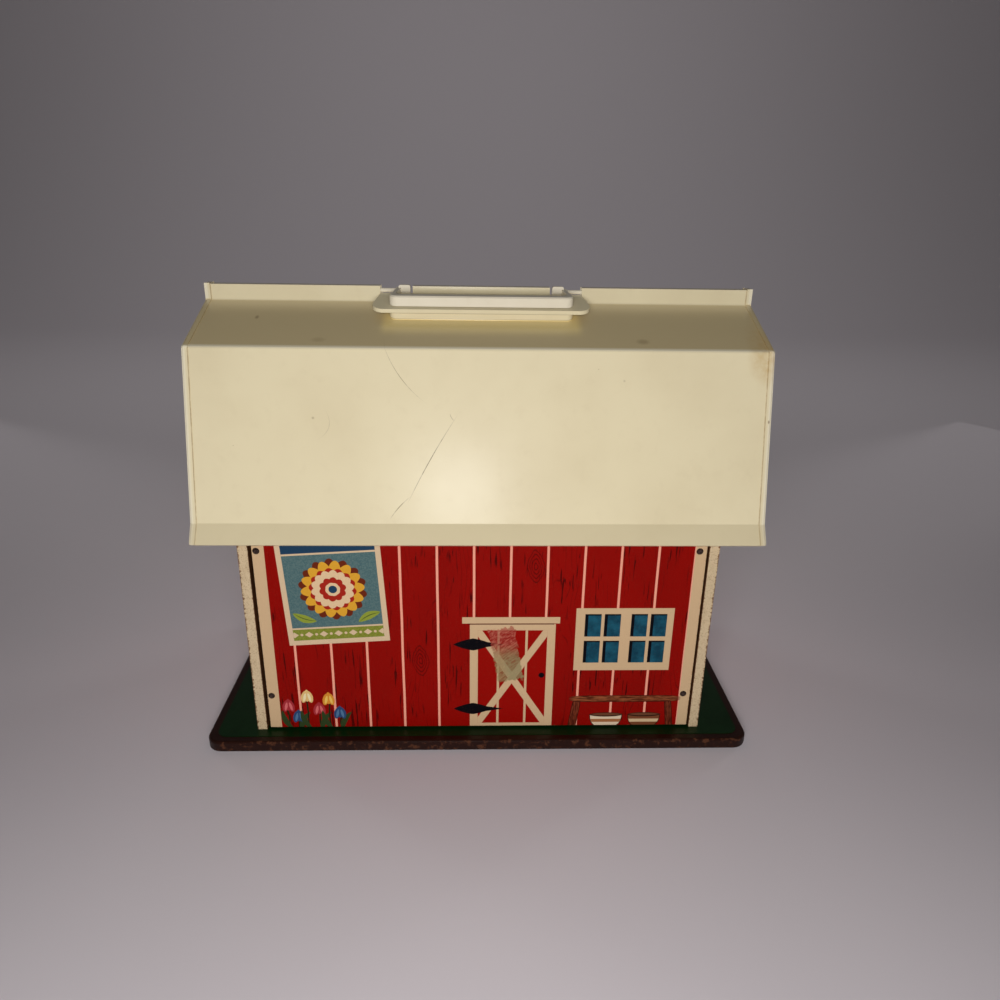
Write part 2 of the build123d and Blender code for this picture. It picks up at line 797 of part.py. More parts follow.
# Like pieces that share a node
hinge_heights = (hinge_low, hinge_high)
screw_length = ear_thickness + screw_bite
groups = {
    "wall_nails": [nail(*place) for place in wall_nail_places],
    "panel_nails": [nail(*place) for place in panel_nail_places],
    "front_roof_screws": [screw(*place, screw_length) for place in front_roof_screw_places],
    "back_roof_screws": [screw(*place, screw_length) for place in back_roof_screw_places],
    "hinge_frame_leaves": [hinge_frame_leaf(side, height) for side in (-1, 1) for height in hinge_heights],
    "door_left_straps": [hinge_strap(-1, height) for height in hinge_heights],
    "door_right_straps": [hinge_strap(1, height) for height in hinge_heights],
}
for name, pieces in groups.items():
    parts[name] = Compound(children=pieces)

os.makedirs("parts", exist_ok=True)
for name, shape in parts.items():
    export_step(shape, "parts/" + name + ".step")
    print(name, round(shape.volume, 1))
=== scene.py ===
"""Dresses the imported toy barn: printed boards, moulded roof, hardware, studio and camera.

The file is laid out as an add-on. Lengths on materials are millimetres, because the patterns
follow the maker's drawing. Places of pieces are metres, as in the frame. +X is to the right when
the closed back wall is looked at, +Y goes from that wall to the doors, and +Z is up.
"""

import inspect
import json
import math
from functools import cached_property

import bpy
from mathutils import Matrix, Vector

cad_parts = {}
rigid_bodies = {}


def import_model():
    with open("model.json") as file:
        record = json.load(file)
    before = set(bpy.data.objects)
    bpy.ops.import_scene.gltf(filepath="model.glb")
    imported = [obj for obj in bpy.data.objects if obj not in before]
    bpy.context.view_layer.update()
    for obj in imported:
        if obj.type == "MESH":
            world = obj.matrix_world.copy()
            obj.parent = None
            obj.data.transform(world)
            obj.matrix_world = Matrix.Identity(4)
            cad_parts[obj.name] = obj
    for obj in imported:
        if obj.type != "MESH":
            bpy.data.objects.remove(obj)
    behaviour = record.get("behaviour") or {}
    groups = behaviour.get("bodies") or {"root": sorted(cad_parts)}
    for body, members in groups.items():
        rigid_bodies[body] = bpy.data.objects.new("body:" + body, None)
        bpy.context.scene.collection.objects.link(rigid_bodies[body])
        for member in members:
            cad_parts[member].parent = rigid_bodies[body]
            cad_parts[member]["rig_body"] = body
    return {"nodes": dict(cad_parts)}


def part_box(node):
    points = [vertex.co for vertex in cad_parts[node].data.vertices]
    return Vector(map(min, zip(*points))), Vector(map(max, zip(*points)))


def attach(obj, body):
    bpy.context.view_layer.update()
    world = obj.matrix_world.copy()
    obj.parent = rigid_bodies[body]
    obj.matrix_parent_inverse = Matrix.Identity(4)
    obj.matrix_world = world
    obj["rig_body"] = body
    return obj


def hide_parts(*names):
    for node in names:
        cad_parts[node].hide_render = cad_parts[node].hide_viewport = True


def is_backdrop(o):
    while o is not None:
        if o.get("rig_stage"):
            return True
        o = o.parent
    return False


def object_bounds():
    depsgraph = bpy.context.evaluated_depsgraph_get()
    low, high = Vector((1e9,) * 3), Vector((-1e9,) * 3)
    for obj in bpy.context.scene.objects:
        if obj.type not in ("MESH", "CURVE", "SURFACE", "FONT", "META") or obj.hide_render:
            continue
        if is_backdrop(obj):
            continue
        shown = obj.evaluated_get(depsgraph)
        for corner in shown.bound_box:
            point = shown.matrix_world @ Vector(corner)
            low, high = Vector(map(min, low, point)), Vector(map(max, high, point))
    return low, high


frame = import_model()
CAD_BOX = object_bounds()

bl_info = {
    "name": "Toy barn dressing",
    "version": (1, 0, 0),
    "blender": (4, 5, 0),
    "location": "3D Viewport > Sidebar > Barn",
    "description": "Gives the toy barn its printed walls, moulded roof, hardware and studio",
    "category": "Object",
}

MM = 0.001

# The sockets of shared effects that hold a colour, where all but Vector hold a number
COLOURS = ("Colour", "Dirt", "Ground", "Grain", "Line", "Fleck", "Late wood")

# Texture Coordinate's Object output
OBJECT_OUTPUT = 3


def in_mm(box):
    """The lower and the upper corner of a box, in millimetres."""
    return [corner / MM for corner in box]


BACK = in_mm(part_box("back_panel"))
ROOF_END = in_mm(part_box("back_roof"))[1].x
BASE_CORNER = in_mm(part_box("base_board"))[1]
LOFT_TOP = in_mm(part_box("loft_floor"))[1].z
BACK_FACE = BACK[0].y
FRONT_FACE = in_mm(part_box("front_wall"))[1].y
FLOOR = in_mm(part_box("base_sheet"))[1].z


def shade(red, green, blue):
    """A paint chip's 0 to 255 values as a linear colour."""
    def linear(value):
        share = value / 255
        return share / 12.92 if share <= 0.04045 else ((share + 0.055) / 1.055) ** 2.4
    return (linear(red), linear(green), linear(blue), 1.0)


def colour_setting(name, subject, *chip):
    """A colour that a user can change, with a paint chip as its default."""
    return bpy.props.FloatVectorProperty(name=name, description="Colour of " + subject, default=shade(*chip),
                                         size=4, subtype="COLOR", min=0.0, max=1.0)


def power_setting(name, lamp, watts):
    """A lamp's power that a user can change."""
    return bpy.props.FloatProperty(
        name=name, description="Power of " + lamp, default=watts, min=0.0, unit="POWER")


def angle_setting(name, motion, degrees):
    """A turn of the camera that a user can change."""
    return bpy.props.FloatProperty(name=name, description="How far the camera " + motion,
                                   default=math.radians(degrees), subtype="ANGLE")


class BarnStageSettings(bpy.types.PropertyGroup):
    """The floor, the light and the camera."""

    floor_colour: colour_setting("Floor", "the floor and backdrop", 206, 198, 202)
    room_colour: colour_setting("Room", "the room beyond the backdrop", 108, 103, 106)
    key_power: power_setting("Key light", "the soft light beside the camera", 4.2)
    gloss_power: power_setting("Gloss light", "the small light that shows on glossy skins", 0.2)
    side_power: power_setting("Side lights", "each of the two low lights on the gables", 0.5)
    rear_power: power_setting("Rear light", "the low light on the doors", 0.22)
    fill_power: power_setting("Backdrop light", "the wide light on the backdrop", 9.0)
    sky_strength: bpy.props.FloatProperty(
        name="Room light", description="Strength of the even light of the room", default=0.08, min=0.0)
    camera_place: bpy.props.FloatVectorProperty(
        name="Camera", description="Where the camera stands", default=(-0.0037, -0.498, 0.334), size=3,
        subtype="TRANSLATION", unit="LENGTH")
    camera_pitch: angle_setting("Pitch", "looks down", 21.1)
    camera_yaw: angle_setting("Yaw", "looks to the right", 2.0)
    camera_roll: angle_setting("Roll", "leans", 0.9)
    camera_lens: bpy.props.FloatProperty(
        name="Lens", description="Focal length on a 36 mm frame", default=27.76, min=1.0, unit="CAMERA")


class BarnPrintSettings(bpy.types.PropertyGroup):
    """The colours and spacing of the printed walls."""

    red: colour_setting("Board red", "the printed boards", 136, 8, 3)
    grain: colour_setting("Grain", "the printed grain", 70, 4, 3)
    batten: colour_setting("Batten", "the thin printed battens", 222, 150, 126)
    cream: colour_setting("Cream", "frames and corner strips", 190, 160, 124)
    pane: colour_setting("Pane", "the printed window panes", 16, 53, 69)
    black: colour_setting("Black", "the printed ironwork", 8, 7, 12)
    batten_spacing: bpy.props.FloatProperty(
        name="Batten spacing", description="From one printed batten to the next, in millimetres",
        default=22.58, min=5.0)
    batten_width: bpy.props.FloatProperty(
        name="Batten width", description="Width of a printed batten, in millimetres", default=1.45, min=0.1)


class BarnFinishSettings(bpy.types.PropertyGroup):
    """The colours of mouldings, boards and metal."""

    roof: colour_setting("Roof", "the moulded roof", 218, 205, 170)
    handle: colour_setting("Handle", "the moulded handle", 220, 210, 188)
    edge_paint: colour_setting("Edge paint", "the painted board edges", 194, 172, 138)
    hardboard: colour_setting("Hardboard", "bare hardboard", 104, 66, 38)
    base: colour_setting("Base", "the stained base board", 36, 15, 9)
    grass: colour_setting("Grass", "the printed base sheet", 7, 34, 10)
    pine: colour_setting("Pine", "the planed posts and strips", 205, 170, 120)


class Value:
    """What one socket gives, on which sums are written as on numbers."""

    def __init__(self, r, socket):
        self.r = r
        self.socket = socket

    def __add__(self, other):
        return self.r.math("ADD", self, other)

    def __sub__(self, other):
        return self.r.math("SUBTRACT", self, other)

    def __rsub__(self, other):
        return self.r.math("SUBTRACT", other, self)

    def __mul__(self, other):
        return self.r.math("MULTIPLY", self, other)

    def __truediv__(self, other):
        return self.r.math("DIVIDE", self, other)

    def __pow__(self, other):
        return self.r.math("POWER", self, other)

    def __abs__(self):
        return self.r.math("ABSOLUTE", self)


def title(name):
    """The name of a shared effect or its socket, from a name in this script."""
    return name.replace("_", " ").capitalize()


class Recipe:
    """Adds nodes to one tree and joins them, so that a material reads as a list of steps."""

    def __init__(self, tree):
        self.tree = tree
        self.colour = None

    def put(self, socket, value):
        """Joins a value to a socket, or sets the socket to a plain number or colour."""
        if isinstance(value, Value):
            self.tree.links.new(value.socket, socket)
        else:
            socket.default_value = value

    def add(self, kind, values=None, **settings):
        """Adds one node with its settings and inputs, and gives all its outputs."""
        node = self.tree.nodes.new("ShaderNode" + kind)
        for name, value in settings.items():
            setattr(node, name, value)
        for socket, value in (values or {}).items():
            self.put(node.inputs[socket], value)
        return [Value(self, socket) for socket in node.outputs]

    def math(self, operation, *values, clamp=False):
        """One sum on numbers."""
        return self.add("Math", dict(enumerate(values)), operation=operation, use_clamp=clamp)[0]

    def least(self, first, second):
        """The lower of two numbers."""
        return self.math("MINIMUM", first, second)

    def most(self, first, second):
        """The higher of two numbers."""
        return self.math("MAXIMUM", first, second)

    def mix(self, factor, first, second):
        """One colour laid over another."""
        return self.add("Mix", {0: factor, 6: first, 7: second}, data_type="RGBA")[2]

    def lay(self, mask, ink):
        """Covers the recipe's colour with an ink where the mask holds."""
        self.colour = self.mix(mask, self.colour, ink)

    def between(self, factor, first, second):
        """A number that goes from the first to the second value."""
        return self.add("Mix", {0: factor, 2: first, 3: second}, data_type="FLOAT")[0]

    def ramp(self, value, low, high, first=0.0, last=1.0):
        """A number taken smoothly from one range to another."""
        return self.add("MapRange", {0: value, 1: low, 2: high, 3: first, 4: last},
                        interpolation_type="SMOOTHSTEP")[0]

    def inside(self, depth, soft):
        """The mask of what lies deeper than nought, with a soft rim."""
        return self.math("ADD", depth / soft, 0.5, clamp=True)

    def within(self, distance, half, soft=0.25):
        """The mask of what lies nearer than half."""
        return self.inside(half - distance, soft)

    def join(self, x, y, z):
        """Three numbers as one vector."""
        return self.add("CombineXYZ", {0: x, 1: y, 2: z})[0]

    def noise(self, vector, scale, detail=3.0, roughness=0.5, distortion=0.0):
        """An even noise from 0 to 1."""
        return self.add("TexNoise", {"Vector": vector, "Scale": scale, "Detail": detail,
                                     "Roughness": roughness, "Distortion": distortion})[0]

    def group(self, build, *values, **named):
        """Places a shared effect with its own values, and gives all that it puts out."""
        values = dict(enumerate(values)) | {title(name): value for name, value in named.items()}
        return self.add("Group", values, node_tree=shared_tree(build))


def shared_tree(build):
    """The node group of a shared effect, with the parameters of the function that builds it as inputs."""
    name = title(build.__name__)
    if name in bpy.data.node_groups:
        return bpy.data.node_groups[name]
    tree = bpy.data.node_groups.new(name, "ShaderNodeTree")

    def add_sockets(names, way):
        """Adds one socket for each name."""
        for each in names:
            kind = "Color" if each in COLOURS else "Vector" if each == "Vector" else "Float"
            tree.interface.new_socket(each, in_out=way, socket_type="NodeSocket" + kind)

    r = Recipe(tree)
    inputs = [title(each) for each in inspect.signature(build).parameters][1:]
    add_sockets(inputs, "INPUT")
    start = tree.nodes.new("NodeGroupInput").outputs
    outputs = build(r, *(Value(r, start[each]) for each in inputs))
    add_sockets(outputs, "OUTPUT")
    end = tree.nodes.new("NodeGroupOutput").inputs
    for each, value in outputs.items():
        r.put(end[each], value)
    return tree


class Surface(Recipe):
    """The recipe of one material."""

    def __init__(self, name):
        self.material = bpy.data.materials.new(name)
        self.material.use_nodes = True
        super().__init__(self.material.node_tree)

    @cached_property
    def place(self):
        """The place on the piece in millimetres."""
        return self.add("VectorMath", {0: self.add("TexCoord")[OBJECT_OUTPUT], 3: 1 / MM},
                        operation="SCALE")[0]

    @cached_property
    def measures(self):
        """The place on the piece as three numbers."""
        return self.add("SeparateXYZ", {0: self.place})

    def wear(self, scale, amount, sharp):
        """The mask of rubbed and chipped places."""
        return self.group(board_wear, self.place, scale, amount, sharp)[0]

    def finish(self, height=None, depth=0.0, strength=1.0, **values):
        """Joins the colour, a bump of a depth in mm and other values to the shader of the material."""
        shader = self.tree.nodes["Principled BSDF"].inputs
        self.put(shader["Base Color"], self.colour)
        for name, value in values.items():
            self.put(shader[name.replace("_", " ")], value)
        if height is not None:
            bump = {"Height": height, "Distance": depth * MM, "Strength": strength}
            self.put(shader["Normal"], self.add("Bump", bump)[0])
        return self.material


class Plane:
    """Two measures of a place, across and up a face, on which printed shapes are masks."""

    def __init__(self, x, z):
        self.x = x
        self.z = z
        self.r = x.r

    def noise(self, layer, scale, *detail):
        """A noise on the face. Each layer is another drawing."""
        return self.r.noise(self.r.join(self.x, layer, self.z), scale, *detail)

    def shape(self, build, middle, *values):
        """The mask of one printed shape."""
        return self.r.group(build, self.x, self.z, *middle, *values)[0]

    def figure(self, middle, half, turn=0.0, power=2.0, bow=0.0, soft=0.25):
        """The mask of an ellipse, a diamond or a box, by its power."""
        return self.shape(print_figure, middle, *half, math.radians(turn), power, bow, soft)

    def panel(self, middle, half, turn=0.0, soft=0.25):
        """The mask of a box with sharp corners."""
        return self.shape(print_panel, middle, *half, math.radians(turn), soft)

    def flower(self, middle, radius, petals, depth, turn):
        """The mask of a flower or rosette."""
        return self.shape(print_flower, middle, radius, petals, depth, math.radians(turn), 0.25)


def turned(x, z, cos, sin):
    """Two measures along and across a line that is turned."""
    return x * cos + z * sin, z * cos - x * sin


def print_figure(r, x, z, middle_x, middle_z, half_width, half_height, turn, power, bow, soft):
    """A filled shape of one ink: an ellipse, a diamond or a box, by its power, and bowed if wanted."""
    along, across = turned(x - middle_x, z - middle_z, r.math("COSINE", turn), r.math("SINE", turn))
    u = along / half_width
    v = (across + bow * (u * u)) / half_height
    size = (abs(u) ** power + abs(v) ** power) ** r.math("DIVIDE", 1.0, power)
    return {"Mask": r.inside((1.0 - size) * half_height, soft)}


def print_panel(r, x, z, middle_x, middle_z, half_width, half_height, turn, soft):
    """A filled box of one ink, with sharp corners, turned about its middle."""
    along, across = turned(x - middle_x, z - middle_z, r.math("COSINE", turn), r.math("SINE", turn))
    return {"Mask": r.inside(r.least(half_width - abs(along), half_height - abs(across)), soft)}


def print_flower(r, x, z, middle_x, middle_z, radius, petals, depth, turn, soft):
    """A round shape with petals or scallops, in one ink."""
    dx, dz = x - middle_x, z - middle_z
    angle = r.math("ARCTAN2", dz, dx) + turn
    wave = abs(r.math("SINE", angle * (petals * 0.5)))
    reach = r.math("SQRT", dx * dx + dz * dz)
    return {"Mask": r.inside(radius * (1.0 - depth * (1.0 - wave)) - reach, soft)}


def board_print(r, x, z, spacing, first_line, line_width, ground, grain, line):
    """Printed boards: a coloured ground with short grain strokes and thin upright battens."""
    def drawn(across, up, layer, *detail):
        """A noise drawn out along the boards."""
        return Plane(x * across, z * up).noise(layer, 1.0, *detail)

    speckle = Plane(x, z).noise(0.0, 1.7, 2.0, 0.7)
    cloud = drawn(0.03, 0.014, 0.0, 3.0)
    tone = r.ramp(speckle, 0.35, 0.75) * 0.34 + r.ramp(cloud, 0.35, 0.7) * 0.14
    r.colour = r.mix(tone, ground, grain)
    rings = r.math("PINGPONG", x * 0.3 + drawn(0.05, 0.014, 6.0, 1.5) * 9.0, 0.5)
    where = drawn(0.06, 0.03, 1.0, 2.0, 0.6)
    r.lay(r.within(rings, 0.05, 0.06) * r.ramp(where, 0.5, 0.6) * 0.55, grain)
    stroke = drawn(0.8, 0.05, 4.0, 1.0, 0.4, 0.5)
    where = drawn(0.07, 0.03, 9.0, 2.0)
    r.lay(r.ramp(stroke, 0.6, 0.64) * r.ramp(where, 0.47, 0.56), grain)
    swayed = x + (drawn(0.04, 0.02, 2.0, 2.0) - 0.5) * 0.7
    to_line = r.math("PINGPONG", swayed - first_line, spacing * 0.5)
    r.lay(r.within(to_line, line_width * 0.5, 0.3), line)
    return {"Colour": r.colour}


def board_wear(r, vector, scale, amount, sharp):
    """Rubbed and chipped places, by a noise whose amount can follow edges."""
    rough = r.noise(vector, scale, 6.0, 0.65)
    return {"Mask": r.inside(rough - (0.82 - amount * 0.5), sharp)}


def moulded_skin(r, vector, colour, dirt, specks, gloss):
    """A moulded plastic skin: faint clouding, specks of dirt, and a fine ripple."""
    cloud = r.noise(vector, 0.018, 3.0, 0.55)
    smear = r.noise(vector, 0.11, 4.0, 0.6)
    r.colour = colour
    r.lay(r.ramp(cloud, 0.35, 0.75) * 0.10, dirt)
    r.lay(r.ramp(smear, 0.5, 0.85) * 0.07, dirt)
    to_speck = r.add("TexVoronoi", {"Vector": vector, "Scale": 0.085, "Randomness": 1.0})[0]
    rare = r.ramp(r.noise(vector, 0.05, 1.0), 0.55, 0.62)
    r.lay((1.0 - r.ramp(to_speck, 0.012, 0.035)) * rare * specks, dirt)
    ripple = r.noise(vector, 0.9, 2.0, 0.5)
    return {"Colour": r.colour, "Roughness": smear * 0.14 + gloss, "Height": ripple * 0.5 + cloud * 0.5}


def timber_grain(r, vector, colour, late_wood):
    """Planed softwood: growth lines along the piece's length."""
    wander = r.noise(vector, 0.05, 3.0, 0.6)
    drawn = r.add("VectorMath", {0: vector, 1: (1.0, 1.0, 0.06)}, operation="MULTIPLY")[0]
    lines = r.noise(drawn, 0.8, 4.0, 0.6, 0.4)
    level = r.ramp(lines, 0.4, 0.68) + wander * 0.3
    return {"Colour": r.mix(level * 0.55, colour, late_wood), "Height": lines}


def hardboard_fibre(r, vector, colour, fleck):
    """Pressed hardboard: short fibres and dark flecks."""
    fibre = r.noise(vector, 1.1, 5.0, 0.7, 0.6)
    patch = r.noise(vector, 0.12, 3.0, 0.55)
    level = r.ramp(fibre, 0.42, 0.72) * 0.6 + r.ramp(patch, 0.4, 0.75) * 0.3
    return {"Colour": r.mix(level, colour, fleck), "Height": fibre}


# The printed window: its middle and half sizes in mm, and its two pairs of pane columns
WINDOW_MIDDLE = (91.2, 75.1)
WINDOW_HALF = (31.0, 22.7)
WINDOW_BAR = (91.9, 75.9)
PANE_HALF = (5.15, 8.1)
PAIR_REACH = 14.65
COLUMN_REACH = 6.15
ROW_REACH = 9.65
PANE_SHADE = (2.0, -1.0)
PANE_SHEEN = shade(26, 80, 98)

# The heights of the middles of the two windows printed on each gable, in mm
GABLE_WINDOWS = (75.0, 196.0)

# The printed door: middle, half sizes and the widths of its members, in mm
DOOR_MIDDLE = (20.5, 47.0)
DOOR_HALF = (27.1, 39.6)
DOOR_INSIDE = (22.0, 35.1)
DOOR_BATTEN_REACH = 8.9
BRACE_HALF = 2.3
LINTEL = ((19.4, 89.3), (30.8, 2.25))
LINTEL_SHADOW = ((19.4, 86.7), (27.1, 0.4))
KNOB_PRINT = ((39.7, 48.8), (1.9, 1.9))
STRAP_PRINTS = ((-4.6, 71.9), (-4.6, 23.2))

# The torn paper on the printed door, with the pairs of shades in its two parts
PATCH = ((16.6, 64.0), (8.2, 19.4))
PATCH_PINK = (shade(128, 30, 26), shade(172, 98, 80))
PATCH_PAPER = (shade(112, 92, 58), shade(158, 138, 98))
PATCH_STAIN = shade(120, 118, 84)

# The printed bench, in mm: middle, half sizes and turn of its rail and legs
BENCH = (
    ((95.3, 30.4), (35.2, 2.15), 0.0, 5.0),
    ((62.2, 17.6), (2.3, 10.6), -7.5, 8.0),
    ((125.3, 17.6), (2.0, 10.6), 7.0, 8.0),
)
BENCH_OUTLINE = shade(52, 14, 8)
RAIL_WOOD = (shade(74, 30, 14), shade(138, 76, 46))
LEG_WOOD = (shade(66, 22, 12), shade(112, 50, 30))

# The bowls under the bench: the rim's height, a bowl's half sizes, outline and stripe in mm, and
# the middle, ink and stripe of each
BOWL_RIM = 18.4
BOWL_HALF = (10.4, 10.8)
BOWL_OUTLINE = (10.9, 11.3)
STRIPE_HEIGHT = 13.2
BOWLS = (
    (83.6, shade(206, 184, 156), shade(150, 96, 58)),
    (109.0, shade(110, 64, 40), shade(196, 168, 130)),
)
BOWL_DARK = shade(46, 20, 12)
BOWL_INSIDE = shade(96, 60, 40)

# The notice on the wall: its lower left corner, turn, half sizes, border and head, in mm
NOTICE_CORNER = (-120.0, 71.4)
NOTICE_TURN = math.radians(3.3)
NOTICE_HALF = (31.6, 40.0)
NOTICE_BORDER = 3.3
NOTICE_HEAD = 62.6
NOTICE_CREAM = shade(196, 170, 138)
NOTICE_BLUE = shade(28, 56, 80)
NOTICE_TEAL = (shade(66, 92, 95), shade(86, 108, 106))
NOTICE_OLIVE = (shade(108, 114, 38), shade(128, 132, 54))
NOTICE_LEAF = shade(128, 138, 50)
NOTICE_VEIN = shade(70, 84, 40)

# The foot of the notice: its height, half its depth, the height of its upper line, and half the
# distance between two beads, in mm
FOOT = 7.2
FOOT_HALF = 3.9
FOOT_LINE = 11.6
BEAD_REACH = 4.6

# The rosette on the notice: radius in mm, petals, depth of the petals and ink of each ring
ROSETTE_MIDDLE = (31.6, 38.0)
ROSETTE_RUST, ROSETTE_CREAM = shade(150, 34, 22), shade(206, 176, 138)
ROSETTE = (
    (21.0, 14.0, 0.20, shade(96, 36, 18)),
    (19.6, 14.0, 0.20, shade(200, 146, 44)),
    (14.6, 14.0, 0.12, ROSETTE_RUST),
    (13.2, 14.0, 0.12, ROSETTE_CREAM),
    (8.4, 10.0, 0.14, ROSETTE_RUST),
    (4.6, 8.0, 0.06, ROSETTE_CREAM),
    (2.6, 8.0, 0.0, NOTICE_BLUE),
)

# The tulips: middle and height in mm, the stem's lean, and the two inks of the cup
RED_CUP = (shade(150, 44, 50), shade(196, 96, 96))
BLUE_CUP = (shade(40, 66, 104), shade(74, 106, 138))
TULIPS = (
    (-124.6, 26.0, 2.0, RED_CUP),
    (-118.4, 17.6, 1.0, BLUE_CUP),
    (-112.2, 33.0, 0.6, (shade(206, 170, 110), shade(220, 204, 160))),
    (-104.8, 23.4, -0.8, RED_CUP),
    (-98.4, 31.0, -1.2, (shade(196, 128, 44), shade(214, 176, 84))),
    (-91.6, 20.4, -2.4, BLUE_CUP),
)
LEAF_GREEN = shade(44, 58, 30)
STEM_GREEN = shade(30, 32, 16)

# The rings of a printed knot, as half sizes in mm, and the middles of the back wall's knots
KNOT_RINGS = ((5.6, 11.6), (4.1, 8.8), (2.7, 5.8), (1.3, 2.8))
BACK_KNOTS = ((33.8, 126.8), (-38.0, 60.0))

# Where the corner strips begin, and the half width and the height of the doorway, in mm
STRIP_EDGE = 131.2
BACK_STRIP_LEFT = -130.2
DOORWAY_HALF = 52.0
DOORWAY_TOP = 101.7

# The roof's heights where its slopes meet, in mm. On the upper slope the height and the fall of the
# depth add up to its reach, and on the lower slope the depth and the fall of the height do.
BREAK_HEIGHT = 255.3
FLARE_HEIGHT = 156.2
FLANGE_ROOT = 275.5
UPPER_FALL = 0.397
UPPER_REACH = FLANGE_ROOT + 4.15 * UPPER_FALL
LOWER_FALL = 0.222
LOWER_REACH = 111.68
LEDGE_UNDER = 279.87
LEDGE_FALL = 0.3057

# The marks on the roof's photographed half: middle, half sizes, turn and bow of each scratch, and
# middle, half sizes and strength of each spot
SCRATCHES = (
    ((-47.2, 240.2), (13.4, 0.13), -54.0, -1.4),
    ((-29.6, 193.6), (22.0, 0.24), 60.0, 0.6),
    ((-48.5, 165.5), (6.6, 0.22), 48.0, 0.4),
    ((-17.4, 217.2), (1.8, 0.18), 122.0, 0.3),
    ((-88.0, 212.0), (4.5, 0.08), 76.0, -1.2),
)
ROOF_MARKS = (
    ((-134.5, 267.8), (0.9, 0.6), 0.6),
    ((-94.4, 258.6), (3.4, 0.8), 0.22),
    ((94.5, 259.0), (3.2, 0.9), 0.35),
    ((-97.1, 216.6), (0.6, 0.6), 0.45),
    ((82.7, 238.5), (0.5, 0.5), 0.35),
    ((168.5, 216.0), (0.5, 0.9), 0.7),
)
BURN = ((166.0, 252.0), (9.0, 12.0))

# The shades of the roof's plastic where it has aged, worn or gathered dirt, and the painted shade,
# highlights, reflections and shadow that are laid on it
ROOF_DIRT = shade(150, 122, 76)
CREASE_DIRT = shade(150, 120, 76)
RUBBED_RIM = shade(230, 222, 200)
UPPER_AGED = shade(192, 172, 128)
FLARE_AGED = shade(190, 174, 138)
BREAK_BRIGHT = shade(236, 226, 198)
ROOT_PALE = shade(226, 208, 166)
HANDLED = shade(232, 208, 142)
SEAM_DIRT = shade(120, 104, 76)
SCRATCH_DIRT = shade(112, 92, 62)
SPOT_DIRT = shade(112, 84, 48)
BURN_BROWN = shade(184, 148, 86)


def boards(r, at, inks):
    """The printed boards of a wall."""
    return r.group(board_print, at.x, at.z, spacing=inks.batten_spacing, first_line=-4.0,
                   line_width=inks.batten_width, ground=inks.red, grain=inks.grain, line=inks.batten)[0]


def window_print(r, at, inks):
    """The printed window with its eight panes."""
    def panes(shift):
        """The panes, folded onto one, with a shift."""
        u = abs(abs(at.x - (WINDOW_BAR[0] + shift[0])) - PAIR_REACH) - COLUMN_REACH
        v = abs(at.z - (WINDOW_BAR[1] + shift[1])) - ROW_REACH
        return Plane(u, v).panel((0.0, 0.0), PANE_HALF)

    r.lay(at.panel(WINDOW_MIDDLE, WINDOW_HALF), inks.cream)
    opening = panes((0.0, 0.0))
    glass = opening * panes(PANE_SHADE)
    r.lay(opening, inks.black)
    cloud = at.noise(5.0, 0.16, 3.0, 0.6)
    r.lay(glass, r.mix(r.ramp(cloud, 0.3, 0.75), inks.pane, PANE_SHEEN))


def off_brace(u, v, half_width, half_height):
    """How far a place lies from the line between two corners of a door."""
    diagonal = math.hypot(half_width, half_height)
    return abs(u * (half_height / diagonal) - v * (half_width / diagonal))


def door_print(r, at, inks):
    """The printed door with its lintel, braces, straps and knob."""
    inside = at.panel(DOOR_MIDDLE, DOOR_INSIDE)
    u, v = abs(at.x - DOOR_MIDDLE[0]), abs(at.z - DOOR_MIDDLE[1])
    r.lay(at.panel(DOOR_MIDDLE, DOOR_HALF), inks.cream)
    r.lay(inside, inks.red)
    batten = r.within(abs(u - DOOR_BATTEN_REACH), 0.75, 0.3)
    brace = r.within(off_brace(u, v, *DOOR_INSIDE), BRACE_HALF, 0.3)
    r.lay(r.most(brace, batten) * inside, inks.cream)
    r.lay(at.panel(*LINTEL_SHADOW), inks.grain)
    r.lay(at.panel(*LINTEL), inks.cream)
    r.lay(at.figure(*KNOB_PRINT), inks.black)
    for x, z in STRAP_PRINTS:
        blade = at.figure((x, z), (12.4, 4.4), power=1.25)
        tail = at.figure((x + 6.0, z - 0.1), (13.6, 2.2), power=1.1)
        r.lay(r.most(blade, tail), inks.black)


def torn_patch(r, at):
    """The torn paper left on the printed door, through which the print shows."""
    x, z = at.x, at.z
    shift = (at.noise(3.0, 0.3, 5.0, 0.75) - 0.5) * 7.0
    whole = Plane(x + shift, z - shift).panel(*PATCH, turn=10.0, soft=0.5)
    across, along = turned(x, z, 0.8, 0.6)
    hatch = Plane(across * 0.2, along).noise(0.0, 1.1, 3.0, 0.75, 0.8)
    low = r.ramp(z + shift * 1.5, 60.0, 74.0, 1.0, 0.0)
    right = r.ramp(x + z * 0.15, 22.0, 27.0)
    pink = r.mix(r.ramp(hatch, 0.42, 0.62), *PATCH_PINK)
    paper = r.mix(r.ramp(hatch, 0.38, 0.66), *PATCH_PAPER)
    paper = r.mix(right * 0.6, paper, PATCH_STAIN)
    r.lay(whole * r.ramp(hatch, 0.3, 0.55, 0.45, 0.85), r.mix(low, pink, paper))


